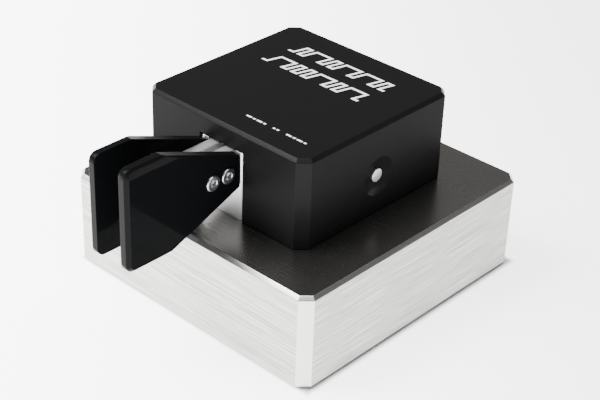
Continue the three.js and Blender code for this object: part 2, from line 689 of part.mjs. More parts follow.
// A board cut round the lever block, with a hole for each of its screws
function circuitBoard() {
  const w = boardHalfWidth;
  const body = solid(prism([[-w, -BOARD_WING], [-boardNotch, -BOARD_WING], [-boardNotch, boardInner],
    [boardNotch, boardInner], [boardNotch, -BOARD_WING], [w, -BOARD_WING], [w, boardBack],
    [-w, boardBack]], boardBottom, boardTop));
  const holes = standoffSpots.map(([x, y]) => solid(rod(x - HOUSING_X, y, boardBottom - PAST,
    boardTop + PAST, M2.shank + SCREW_CLEARANCE, SMALL)));
  return geometryOf(without(body, holes));
}

// A spacer with a stud below, tapped at the top
function standoff() {
  const height = boardBottom - baseTop;
  const body = solid(turned([[0, -STANDOFF_STUD_LENGTH], [STANDOFF_STUD_RADIUS, -STANDOFF_STUD_LENGTH],
    [STANDOFF_STUD_RADIUS, 0], [STANDOFF_RADIUS, 0], [STANDOFF_RADIUS, height], [0, height]], SMALL));
  return geometryOf(body.subtract(solid(rod(0, 0, height - BOARD_SCREW_REACH - SCREW_TIP_GAP,
    height + PAST, M2.shank + THREAD_CLEARANCE, SMALL))));
}

// A screw with a low round head on the board
function boardScrew() {
  const tip = -BOARD_THICKNESS - BOARD_SCREW_REACH;
  const rim = M2.headHeight - SCREW_POINT;
  return turned([[0, tip], [M2.shank, tip], [M2.shank, 0], [M2.head, 0], [M2.head, rim],
    [M2.head - SCREW_POINT, M2.headHeight], [0, M2.headHeight]], SMALL);
}

// The cup under the board that holds the coin cell, open below
function cellHolder() {
  const outer = CELL_RADIUS + HOLDER_CLEARANCE + HOLDER_WALL;
  const inner = CELL_RADIUS + HOLDER_CLEARANCE;
  const depth = CELL_THICKNESS + HOLDER_ROOF;
  return turned([[0, -HOLDER_ROOF], [inner, -HOLDER_ROOF], [inner, -depth], [outer, -depth],
    [outer, 0], [0, 0]], FINE);
}

const cellY = boardInner + CELL_RADIUS + HOLDER_CLEARANCE + HOLDER_WALL;
const holder = add(head, 'cell_holder', 'blackPlastic', cellHolder());
holder.position.set(0, cellY, boardBottom);
add(head, 'coin_cell', 'nickel', rod(0, cellY, boardBottom - HOLDER_ROOF - CELL_THICKNESS,
  boardBottom - HOLDER_ROOF, CELL_RADIUS, FINE));
add(head, 'circuit_board', 'board', circuitBoard());
standoffSpots.forEach(([x, y], i) => {
  add(key, `standoff_${cornerNames[i]}`, 'brass', standoff()).position.set(x, y, baseTop);
  add(key, `board_screw_${cornerNames[i]}`, 'zinc', boardScrew()).position.set(x, y, boardTop);
});

// A packaged chip on the board, centred on x and y
function chip(x, y, width, depth, height) {
  return box([x - width / 2, y - depth / 2, boardTop], [x + width / 2, y + depth / 2, boardTop + height]);
}

const chipX = (JACK_WIDTH / 2 + boardHalfWidth - 2 * STANDOFF_INSET) / 2;
add(head, 'controller_chip', 'blackPlastic',
  chip(-chipX, boardInner + CHIP_SIZE / 2, CHIP_SIZE, CHIP_SIZE, CHIP_HEIGHT));
for (const [name, side] of sides) {
  add(head, `hall_sensor_${name}`, 'blackPlastic',
    chip(side * armMiddle, magnetY, SENSOR_WIDTH, SENSOR_DEPTH, SENSOR_HEIGHT));
  add(head, `output_relay_${name}`, 'blackPlastic',
    chip(chipX, boardInner + RELAY_DEPTH / 2 + (side > 0 ? RELAY_PITCH : 0), RELAY_WIDTH, RELAY_DEPTH,
      RELAY_HEIGHT));
}

// ---- key socket ------------------------------------------------------------------------------

// A socket body on the board whose round bush goes out through the rear wall
function keyJack() {
  const wall = cavityHalfDepth - SEAT_CLEARANCE;
  const body = solid(box([-JACK_WIDTH / 2, wall - JACK_DEPTH, boardTop],
    [JACK_WIDTH / 2, wall, boardTop + JACK_HEIGHT]));
  const tip = housingBack + JACK_BUSH_STAND;
  const bush = solid(lying(JACK_BUSH_RADIUS, wall - PAST, tip, ROUND).translate(0, 0, jackZ));
  const bore = solid(lying(JACK_BORE_RADIUS, tip - JACK_BORE_DEPTH, tip + PAST, ROUND)
    .translate(0, 0, jackZ));
  return geometryOf(body.add(bush).subtract(bore));
}

// The six-sided nut outside the rear wall
function jackNut() {
  const nut = solid(lying(JACK_NUT_RADIUS, 0, JACK_NUT_THICKNESS, 6));
  const hole = solid(lying(JACK_BUSH_RADIUS + THREAD_CLEARANCE, -PAST, JACK_NUT_THICKNESS + PAST, ROUND));
  return geometryOf(nut.subtract(hole));
}

add(head, 'key_jack', 'blackPlastic', keyJack());
add(head, 'jack_nut', 'nickel', jackNut()).position.set(0, housingBack, jackZ);

// ---- push buttons and their switches ---------------------------------------------------------

const buttonFace = HOUSING_WIDTH / 2 - BUTTON_SET_BACK;
const flangeOuter = cavityHalfWidth - SEAT_CLEARANCE;
const flangeInner = flangeOuter - BUTTON_FLANGE_THICKNESS;

// The right button, turned about the X axis
function pushButton() {
  const stemEnd = switchFace + BUTTON_STEM_GAP;
  const e = BUTTON_EDGE;
  return turned([[0, stemEnd], [BUTTON_STEM_RADIUS, stemEnd], [BUTTON_STEM_RADIUS, flangeInner],
    [BUTTON_FLANGE_RADIUS, flangeInner], [BUTTON_FLANGE_RADIUS, flangeOuter],
    [BUTTON_RADIUS, flangeOuter], [BUTTON_RADIUS, buttonFace - e], [BUTTON_RADIUS - e, buttonFace],
    [0, buttonFace]], FINE);
}

for (const [name, side] of sides) {
  const button = add(head, `push_button_${name}`, 'satinAluminium', pushButton());
  button.position.set(0, 0, buttonZ);
  button.rotation.y = side * Math.PI / 2;
  const spring = add(head, `button_spring_${name}`, 'spring',
    coil(BUTTON_SPRING_RADIUS, BUTTON_SPRING_WIRE, BUTTON_SPRING_TURNS, flangeInner - switchFace));
  spring.position.set(side * switchFace, 0, buttonZ);
  spring.rotation.z = side > 0 ? 0 : Math.PI;
  const near = side * (switchFace - SWITCH_SIZE);
  const far = side * switchFace;
  add(head, `button_switch_${name}`, 'blackPlastic',
    box([Math.min(near, far), -SWITCH_SIZE / 2, boardTop],
      [Math.max(near, far), SWITCH_SIZE / 2, boardTop + SWITCH_HEIGHT]));
}

export default key;
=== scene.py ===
# Twin-lever Morse key: fine shapes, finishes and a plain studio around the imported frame.
# Metres, +Z up, -Y towards the operator's hand, +X the operator's right.

import json
import math

import bmesh
import bpy
from bpy.props import FloatProperty, FloatVectorProperty, IntProperty, PointerProperty
from mathutils import Matrix, Vector


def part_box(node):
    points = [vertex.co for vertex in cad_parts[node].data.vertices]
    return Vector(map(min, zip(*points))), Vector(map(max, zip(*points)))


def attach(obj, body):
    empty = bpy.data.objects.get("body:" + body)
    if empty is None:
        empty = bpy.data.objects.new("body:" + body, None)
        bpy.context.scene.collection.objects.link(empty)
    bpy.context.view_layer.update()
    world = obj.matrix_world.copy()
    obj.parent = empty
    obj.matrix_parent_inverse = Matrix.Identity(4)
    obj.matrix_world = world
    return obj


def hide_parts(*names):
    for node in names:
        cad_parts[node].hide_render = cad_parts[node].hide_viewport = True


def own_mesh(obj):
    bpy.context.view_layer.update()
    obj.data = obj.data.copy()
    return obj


bl_info = {
    "name": "Twin-lever Morse key",
    "version": (1, 0, 0),
    "blender": (4, 5, 0),
    "location": "3D View > Sidebar > Morse Key",
    "description": "Builds the visible pieces of a twin-lever Morse key around its packed frame",
    "category": "Object",
}

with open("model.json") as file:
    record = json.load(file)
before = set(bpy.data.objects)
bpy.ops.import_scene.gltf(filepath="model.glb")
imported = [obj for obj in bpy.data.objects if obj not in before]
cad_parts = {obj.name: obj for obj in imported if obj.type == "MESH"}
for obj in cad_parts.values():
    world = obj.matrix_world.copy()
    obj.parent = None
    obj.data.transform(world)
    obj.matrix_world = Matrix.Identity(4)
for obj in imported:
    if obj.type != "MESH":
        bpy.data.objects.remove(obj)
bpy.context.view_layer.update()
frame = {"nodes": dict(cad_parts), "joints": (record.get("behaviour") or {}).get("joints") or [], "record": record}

MM = 0.001
SIDES = {"left": -1, "right": 1}
CORNERS = ("front_left", "front_right", "rear_left", "rear_right")
HOUSING_SCREWS = [f"housing_screw_{corner}" for corner in CORNERS]
BLOCK_SCREWS = ["block_screw_front", "block_screw_rear"]
PAST = 2 * MM
ON_AXIS = 1e-9
SAME_PLANE = math.radians(0.5)
FLAT = 0.99
UPRIGHT = 0.1
CHAMFER_LEAN = (0.3, 0.9)


# ---- sizes, finishes and studio values

def length(name, description, millimetres):
    """A length that the user can change, given here in millimetres."""
    return FloatProperty(name=name, description=description, default=millimetres * MM,
                         min=0.0, unit="LENGTH", precision=5)


def colour(name, description, *values):
    """A colour that the user can change."""
    return FloatVectorProperty(name=name, description=description, default=values,
                               subtype="COLOR", size=3, min=0.0, max=1.0)


class MorseKeySizes(bpy.types.PropertyGroup):
    """Sizes that the frame's boxes don't give."""
    corner_cut: length("Corner cut", "Leg of the flat that cuts each upright corner", 3.0)
    top_chamfer: length("Top chamfer", "Leg of the chamfer round the top of a block", 1.0)
    seam: length("Seam", "Relief round the foot of the housing", 0.3)
    edge_break: length("Edge break", "Width of the tiny rounding on machined edges", 0.12)
    wall: length("Wall", "Thickness of the housing's side walls", 5.0)
    roof: length("Roof", "Thickness of the housing's top", 3.5)
    post: length("Post", "Side of the solid corner that takes a housing screw", 9.0)
    slot_width: length("Slot width", "Width of the front slot", 16.2)
    slot_headroom: length("Slot headroom", "From the top of the slot to the cavity's ceiling", 2.3)
    dish_radius: length("Dish radius", "Rim of the recess round a push button", 5.8)
    dish_depth: length("Dish depth", "Depth of that recess at its middle", 1.4)
    button_gap: length("Button gap", "Clearance round a push button", 0.15)
    screw_gap: length("Screw gap", "Clearance round a screw's shank", 0.2)
    thread_gap: length("Thread gap", "Clearance round a shank in its thread", 0.05)
    counterbore_gap: length("Counterbore gap", "Clearance round a screw head", 0.5)
    pad_length: length("Pad length", "Level part of a fingerpiece's top edge", 12.4)
    neck_height: length("Neck height", "Height of a fingerpiece at its rear", 9.6)
    pad_corner: length("Pad corner", "Radius of a fingerpiece's front corners", 2.5)
    pad_heel: length("Pad heel", "Radius where the lower edge turns up to the neck", 4.0)
    pad_bevel: length("Pad bevel", "Leg of the bevel round the pad", 1.0)
    neck_bevel: length("Neck bevel", "Leg of the bevel on the neck", 0.5)
    facet_height: length("Facet height", "Height of the shallow facet under the top bevel", 1.5)
    facet_depth: length("Facet depth", "How far that facet leans back at its top", 0.3)
    pad_counterbore: length("Pad counterbore", "How deep a fingerpiece's screws are sunk", 1.0)
    head_gap: length("Head gap", "Clearance round a screw head in a fingerpiece", 0.2)
    print_stroke: length("Print stroke", "Width of the printed trace", 0.8)
    print_height: length("Print height", "Height of one pulse of the printed trace", 4.6)
    print_unit: length("Print unit", "Length of one dot of the printed trace", 1.9)
    print_film: length("Print film", "Thickness of the ink", 0.02)
    turn_steps: IntProperty(name="Turn steps", description="Facets round a turned piece",
                            default=96, min=24, max=256)
    arc_steps: IntProperty(name="Arc steps", description="Facets round a quarter turn",
                           default=16, min=4, max=64)


class MorseKeyFinishes(bpy.types.PropertyGroup):
    """Base colours of the finishes."""
    steel: colour("Steel", "Brushed steel of the base's sides", 0.42, 0.415, 0.40)
    # Partly painted highlight: the chamfers' steel is given a lighter colour than the sides' steel.
    milled: colour("Milled steel", "Chamfers of the base", 0.56, 0.555, 0.545)
    # Painted shade: the top's steel is given a darker colour than the sides' steel, standing in for the dark
    # ceiling that it mirrors.
    ground_steel: colour("Ground steel", "Finely ground top of the base", 0.27, 0.264, 0.25)
    anodised: colour("Anodised", "Black anodised housing", 0.0062, 0.0062, 0.0067)
    aluminium: colour("Aluminium", "Milled lever block and arms", 0.70, 0.70, 0.71)
    acrylic: colour("Acrylic", "Polished black faces of the fingerpieces", 0.0030, 0.0033, 0.0037)
    sawn_acrylic: colour("Sawn acrylic", "Machined edges of the fingerpieces",
                         0.0038, 0.0038, 0.0040)
    turned: colour("Turned steel", "Push buttons and pins", 0.50, 0.495, 0.48)
    zinc: colour("Zinc", "Plated screws", 0.62, 0.64, 0.66)
    nickel: colour("Nickel", "Plated socket screws, nut and cell", 0.52, 0.53, 0.54)
    spring: colour("Spring wire", "Drawn wire of the springs", 0.50, 0.50, 0.52)
    brass: colour("Brass", "Spacers of the circuit board", 0.66, 0.47, 0.20)
    nylon: colour("Nylon", "Washers under the levers", 0.82, 0.79, 0.70)
    rubber: colour("Rubber", "Feet", 0.018, 0.018, 0.018)
    solder_mask: colour("Solder mask", "Circuit board", 0.02, 0.12, 0.05)
    plastic: colour("Plastic", "Sockets, switches and chips", 0.020, 0.020, 0.022)
    ink: colour("Ink", "Printed marks on the housing", 0.86, 0.86, 0.85)


class MorseKeyStudio(bpy.types.PropertyGroup):
    """Camera, lights and floor."""
    camera_place: FloatVectorProperty(
        name="Camera", description="Where the camera stands", subtype="XYZ", unit="LENGTH",
        default=(0.24369, -0.25797, 0.24177))
    azimuth: FloatProperty(name="Azimuth", description="Bearing of the view, anticlockwise from +Y",
                           default=math.radians(41.94), subtype="ANGLE")
    elevation: FloatProperty(name="Elevation", description="How far the view looks down",
                             default=math.radians(31.35), subtype="ANGLE")
    roll: FloatProperty(name="Roll", description="Tilt of the camera about its own axis",
                        default=math.radians(2.22), subtype="ANGLE")
    lens: FloatProperty(name="Lens", description="Focal length in millimetres", default=88.91)
    floor: colour("Floor", "Pale floor", 0.86, 0.86, 0.855)
    glow: FloatProperty(name="Glow", description="Light that the light table's top gives",
                        default=7.2, min=0.0)
    # Painted shade: the floor's glow falls to this share on the side away from the softbox.
    glow_far: FloatProperty(name="Far glow", default=0.36, min=0.0, max=1.0,
                            description="Share of the glow on the side away from the softbox")
    horizon: FloatProperty(name="Horizon", description="Brightness round the horizon", default=2.2)
    far_side: FloatProperty(name="Far side", default=0.34, min=0.0, max=1.0,
                            description="Share of the sky on the side away from the softbox")
    ceiling: FloatProperty(name="Ceiling", description="Brightness overhead", default=0.34)
    overhead: FloatProperty(name="Overhead", description="Power of the overhead light in watts",
                            default=27.0, unit="POWER")
    softbox: FloatProperty(name="Softbox", description="Power of the front left light in watts",
                           default=34.0, unit="POWER")


# ---- shapes

def hull(points):
    """The closed solid with flat faces that just holds the points."""
    bm = bmesh.new()
    for point in points:
        bm.verts.new(point)
    found = bmesh.ops.convex_hull(bm, input=bm.verts)
    spare = {item for key in ("geom_interior", "geom_unused") for item in found[key]}
    bmesh.ops.delete(bm, geom=[v for v in spare if isinstance(v, bmesh.types.BMVert)],
                     context="VERTS")
    bmesh.ops.dissolve_limit(bm, angle_limit=SAME_PLANE, verts=bm.verts, edges=bm.edges)
    return bm


def box(low, high):
    """A box between two corners."""
    return hull([(x, y, z) for x in (low[0], high[0]) for y in (low[1], high[1])
                 for z in (low[2], high[2])])


def prism(outline, bottom, top):
    """An upright solid over an outline of (x, y) points."""
    bm = bmesh.new()
    floor = [bm.verts.new((x, y, bottom)) for x, y in outline]
    roof = [bm.verts.new((x, y, top)) for x, y in outline]
    bm.faces.new(list(reversed(floor)))
    bm.faces.new(roof)
    for i in range(len(outline)):
        j = (i + 1) % len(outline)
        bm.faces.new((floor[i], floor[j], roof[j], roof[i]))
    bmesh.ops.recalc_face_normals(bm, faces=bm.faces)
    return bm


def turned(profile, steps):
    """A solid turned about Z from (radius, height) points that start and end on the axis,
    or that run once round a ring."""
    bm = bmesh.new()
    rings = []
    for radius, height in profile:
        count = 1 if radius < ON_AXIS else steps
        angles = [2 * math.pi * i / steps for i in range(count)]
        rings.append([bm.verts.new((radius * math.cos(a), radius * math.sin(a), height))
                      for a in angles])
    pairs = list(zip(rings, rings[1:]))
    if profile[0][0] >= ON_AXIS:
        pairs.append((rings[-1], rings[0]))
    for near, far in pairs:
        for i in range(steps):
            j = (i + 1) % steps
            corners = (near[i % len(near)], near[j % len(near)],
                       far[j % len(far)], far[i % len(far)])
            kept = list(dict.fromkeys(corners))
            if len(kept) > 2:
                bm.faces.new(kept)
    bmesh.ops.recalc_face_normals(bm, faces=bm.faces)
    return bm


def rod(x, y, bottom, top, radius, steps):
    """An upright round bar."""
    bm = turned([(0, bottom), (radius, bottom), (radius, top), (0, top)], steps)
    bmesh.ops.translate(bm, verts=bm.verts, vec=(x, y, 0))
    return bm


def rounded(radius, height, inward, steps=5):
    """Profile points of a rounded outer edge, from the flat face at height to the side."""
    return [(radius - inward + inward * math.sin(a), height - inward + inward * math.cos(a))
            for a in [math.pi / 2 * i / steps for i in range(steps + 1)]]


def chamfered_block(low, high, corner, edge, foot=0.0):
    """An upright block with cut corners, a chamfer round its top and a relief round its foot."""
    middle = (low + high) / 2
    points = []

    def ring(inset, z):
        x = (high.x - low.x) / 2 - inset
        y = (high.y - low.y) / 2 - inset
        cut = corner - inset * (2 - math.sqrt(2))
        for px, py in ((x - cut, y), (x, y - cut)):
            points.extend((middle.x + sx * px, middle.y + sy * py, z)
                          for sx in (-1, 1) for sy in (-1, 1))

    ring(foot, low.z)
    if foot > 0:
        ring(0.0, low.z + foot)
    ring(0.0, high.z - edge)
    ring(edge, high.z)
    return hull(points)


def coil(low, high, wire, turns, around=10, steps=24):
    """A compression spring along X that fills a box, with its end turns wound closer."""
    middle = (low + high) / 2
    radius = (high.z - low.z - wire) / 2
    climb = high.x - low.x - wire
    count = round(turns * steps)
    bm = bmesh.new()
    rings = []
    for i in range(count + 1):
        share = i / count
        a = 2 * math.pi * turns * share
        outward = Vector((0.0, math.cos(a), math.sin(a)))
        round_it = Vector((0.0, -math.sin(a), math.cos(a))) * 2 * math.pi * turns * radius
        along = round_it + Vector((climb * math.pi / 2 * math.sin(math.pi * share), 0.0, 0.0))
        across = along.normalized().cross(outward)
        x = low.x + wire / 2 + climb * (1 - math.cos(math.pi * share)) / 2
        spot = Vector((x, middle.y, middle.z)) + radius * outward
        rings.append([bm.verts.new(spot + wire / 2 * (math.cos(b) * outward + math.sin(b) * across))
                      for b in [2 * math.pi * k / around for k in range(around)]])
    for near, far in zip(rings, rings[1:]):
        for k in range(around):
            j = (k + 1) % around
            bm.faces.new((near[k], near[j], far[j], far[k]))
    bm.faces.new(rings[0])
    bm.faces.new(rings[-1])
    bmesh.ops.recalc_face_normals(bm, faces=bm.faces)
    return bm


def facing(point, direction):
    """A matrix that puts the origin at the point and turns local +Z to the direction."""
    turn = Vector(direction).to_track_quat("Z", "Y").to_matrix().to_4x4()
    return Matrix.Translation(point) @ turn


def joined(parts):
    """Several shapes as one, each given as (shape, matrix)."""
    whole = bmesh.new()
    for part, matrix in parts:
        part.transform(matrix)
        mesh = bpy.data.meshes.new("part")
        part.to_mesh(mesh)
        part.free()
        whole.from_mesh(mesh)
        bpy.data.meshes.remove(mesh)
    return whole


# ---- pieces

def piece_of(name, bm, *finishes, place=None):
    """A new object from a shape, in the row frame."""
    mesh = bpy.data.meshes.new(name)
    bm.to_mesh(mesh)
    bm.free()
    piece = bpy.data.objects.new(name, mesh)
    bpy.context.scene.collection.objects.link(piece)
    for finish in finishes:
        mesh.materials.append(finish)
    if place is not None:
        piece.matrix_world = place
    bpy.context.view_layer.update()
    return piece


def settle(piece):
    """Turns the piece's modifiers into plain mesh."""
    graph = bpy.context.evaluated_depsgraph_get()
    graph.update()
    plain = bpy.data.meshes.new_from_object(piece.evaluated_get(graph))
    piece.modifiers.clear()
    worn = piece.data
    piece.data = plain
    bpy.data.meshes.remove(worn)
    plain.name = piece.name


def carve(piece, *tools, operation="DIFFERENCE"):
    """Cuts the piece with each tool in turn, or joins it to them, and removes the tools."""
    cutters = [piece_of("tool", tool) for tool in tools]
    for cutter in cutters:
        step = piece.modifiers.new("carve", "BOOLEAN")
        step.operation = operation
        step.solver = "EXACT"
        step.object = cutter
    settle(piece)
    if not piece.data.polygons:
        raise RuntimeError(f"{piece.name} is empty after it was carved")
    for cutter in cutters:
        mesh = cutter.data
        bpy.data.objects.remove(cutter)
        bpy.data.meshes.remove(mesh)


def ease(piece, width, angle=28.0):
    """A tiny rounding on every sharp edge, with the flats left flat."""
    piece.data.shade_smooth()
    bevel = piece.modifiers.new("edge break", "BEVEL")
    bevel.width = width
    bevel.segments = 2
    bevel.limit_method = "ANGLE"
    bevel.angle_limit = math.radians(angle)
    bevel.use_clamp_overlap = False
    bevel.miter_outer = "MITER_ARC"
    normals = piece.modifiers.new("flat faces", "WEIGHTED_NORMAL")
    normals.keep_sharp = True


def smooth_by_angle(piece, angle=30.0):
    """Smooth shading, except across edges sharper than the angle."""
    piece.data.shade_smooth()
    piece.data.set_sharp_from_angle(angle=math.radians(angle))


def finish_faces(piece, index, test):
    """Gives the material slot at index to each face whose normal and middle pass the test."""
    for face in piece.data.polygons:
        if test(face.normal, face.center):
            face.material_index = index


def finish_block(piece, low, high, sizes, top, cut):
    """Gives a block's flat top one slot, and its chamfers and cut corners another."""
    middle = (low + high) / 2
    outside = (high.x - low.x) / 2 - CUT_SPAN * sizes.corner_cut
    finish_faces(piece, top, lambda normal, spot: normal.z > FLAT
                 and spot.z > high.z - sizes.top_chamfer / 2)
    finish_faces(piece, cut, lambda normal, spot: CHAMFER_LEAN[0] < normal.z < CHAMFER_LEAN[1]
                 or (abs(abs(normal.x) - abs(normal.y)) < UPRIGHT and abs(normal.z) < UPRIGHT
                     and abs(spot.x - middle.x) > outside))


def stand_for(piece, node, body):
    """The piece takes the place of a CAD node and rides on its body."""
    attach(piece, body)
    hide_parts(node)


def milled_copy(node, body, width):
    """A CAD node's own shape in aluminium, with flat faces made whole and its edges eased."""
    bm = bmesh.new()
    bm.from_mesh(frame["nodes"][node].data)
    bmesh.ops.remove_doubles(bm, verts=bm.verts, dist=0.0005 * MM)
    bmesh.ops.dissolve_limit(bm, angle_limit=SAME_PLANE, verts=bm.verts, edges=bm.edges)
    for face in bm.faces:
        face.material_index = 0
    piece = piece_of(f"milled_{node}", bm, finish("satin aluminium"))
    ease(piece, width)
    stand_for(piece, node, body)


# ---- shader node groups: effects that several finishes share

def node(tree, kind, settings=None, **inputs):
    """A node with its settings; inputs are values, or sockets to link from."""
    made = tree.nodes.new(kind)
    for key, value in (settings or {}).items():
        setattr(made, key, value)
    for label, value in inputs.items():
        by_number = label[0] == "i" and label[1:].isdigit()
        socket = made.inputs[int(label[1:]) if by_number else label.replace("_", " ")]
        if isinstance(value, bpy.types.NodeSocket):
            tree.links.new(value, socket)
        else:
            socket.default_value = value
    return made


def object_place(tree):
    """Where a point lies on its own piece."""
    return node(tree, "ShaderNodeTexCoord").outputs["Object"]


def maths(tree, operation, first, second, clamp=False):
    """The result of a Math node."""
    settings = {"operation": operation, "use_clamp": clamp}
    return node(tree, "ShaderNodeMath", settings, i0=first, i1=second).outputs[0]


def vector_maths(tree, operation, *values):
    """The result of a Vector Math node: a number for a length or a dot product."""
    made = node(tree, "ShaderNodeVectorMath", {"operation": operation},
                **{f"i{i}": value for i, value in enumerate(values)})
    return made.outputs["Value" if operation in ("LENGTH", "DOT_PRODUCT") else "Vector"]


def remap(tree, value, low, high, to_low=0.0, to_high=1.0, shape="LINEAR"):
    """A value carried from one range to another."""
    return node(tree, "ShaderNodeMapRange", {"interpolation_type": shape}, i0=value, i1=low,
                i2=high, i3=to_low, i4=to_high).outputs[0]


def blend(tree, share, first, second):
    """The first colour where the share is 0, and the second where it is 1."""
    return node(tree, "ShaderNodeMix", {"data_type": "RGBA"}, i0=share, i6=first,
                i7=second).outputs[2]


def group(name, inputs, outputs):
    """A new shader node group with its input and output nodes; every output is a number."""
    tree = bpy.data.node_groups.new(name, "ShaderNodeTree")
    for kind, label, value in inputs:
        socket = tree.interface.new_socket(label, in_out="INPUT", socket_type=kind)
        socket.default_value = value
    for label in outputs:
        tree.interface.new_socket(label, in_out="OUTPUT", socket_type="NodeSocketFloat")
    return tree, tree.nodes.new("NodeGroupInput"), tree.nodes.new("NodeGroupOutput")


def streaks_group():
    """Fine parallel or even grain: 0 to 1, from a noise that is stretched by Scale per metre."""
    tree, given, made = group("Grain streaks", [
        ("NodeSocketVector", "Scale", (40.0, 40.0, 9000.0)),
        ("NodeSocketFloat", "Contrast", 0.25)], ["Value"])
    stretched = vector_maths(tree, "MULTIPLY", object_place(tree), given.outputs["Scale"])
    noise = node(tree, "ShaderNodeTexNoise", Vector=stretched, Scale=1.0, Detail=5.0,
                 Roughness=0.62)
    low = maths(tree, "SUBTRACT", 0.5, given.outputs["Contrast"])
    high = maths(tree, "ADD", 0.5, given.outputs["Contrast"])
    tree.links.new(remap(tree, noise.outputs[0], low, high), made.inputs["Value"])
    return tree


def rings_group():
    """Concentric tool marks about a piece's own Z axis: 0 to 1."""
    tree, given, made = group("Turning rings", [("NodeSocketFloat", "Rings per metre", 6000.0)],
                              ["Value"])
    flat = vector_maths(tree, "MULTIPLY", object_place(tree), (1.0, 1.0, 0.0))
    along = maths(tree, "MULTIPLY", vector_maths(tree, "LENGTH", flat),
                  given.outputs["Rings per metre"])
    noise = node(tree, "ShaderNodeTexNoise", {"noise_dimensions": "1D"}, W=along, Scale=1.0,
                 Detail=3.0)
    tree.links.new(noise.outputs[0], made.inputs["Value"])
    return tree


def wear_group():
    """Where an edge is rubbed: 1 on a worn edge and 0 on a flat, broken up by a noise."""
    tree, given, made = group("Edge wear", [
        ("NodeSocketFloat", "Width", 0.0003),
        ("NodeSocketFloat", "Amount", 0.5)], ["Mask"])
    soft = node(tree, "ShaderNodeBevel", {"samples": 4}, Radius=given.outputs["Width"])
    here = node(tree, "ShaderNodeNewGeometry")
    agree = vector_maths(tree, "DOT_PRODUCT", soft.outputs[0], here.outputs["Normal"])
    noise = node(tree, "ShaderNodeTexNoise", Vector=object_place(tree), Scale=900.0, Detail=4.0)
    share = maths(tree, "MULTIPLY", remap(tree, agree, 0.995, 0.90),
                  remap(tree, noise.outputs[0], 0.35, 0.65))
    scaled = maths(tree, "MULTIPLY", share, given.outputs["Amount"], clamp=True)
    tree.links.new(scaled, made.inputs["Mask"])
    return tree


def handling_group():
    """Faint marks of handling: broad cloudy patches and a few fine specks, both 0 to 1."""
    tree, given, made = group("Handling marks", [
        ("NodeSocketFloat", "Patch scale", 55.0),
        ("NodeSocketFloat", "Speck scale", 2600.0)], ["Patches", "Specks"])
    place = object_place(tree)
    for label, scale, detail, low, high in (("Patches", "Patch scale", 3.0, 0.3, 0.7),
                                            ("Specks", "Speck scale", 1.0, 0.70, 0.78)):
        noise = node(tree, "ShaderNodeTexNoise", Vector=place, Scale=given.outputs[scale],
                     Detail=detail)
        tree.links.new(remap(tree, noise.outputs[0], low, high), made.inputs[label])
    return tree


EFFECTS = {"Grain streaks": streaks_group, "Turning rings": rings_group,
           "Edge wear": wear_group, "Handling marks": handling_group}


def effect(tree, name, values):
    """One of the shared effects, placed in a material with its own values."""
    made = tree.nodes.new("ShaderNodeGroup")
    made.node_tree = bpy.data.node_groups.get(name) or EFFECTS[name]()
    for label, value in values.items():
        made.inputs[label].default_value = value
    return made


# ---- finishes

EVEN = (2400.0, 2400.0, 2400.0)
ALONG_SIDES = (45.0, 45.0, 3800.0)
ALONG_X = (30.0, 5200.0, 30.0)
ALONG_Y = (5200.0, 30.0, 5200.0)
DUST = 0.12
BUMP_DISTANCE = 0.1 * MM
RUBBED = {"factor": 1.6, "more": 0.02, "most": 0.95}

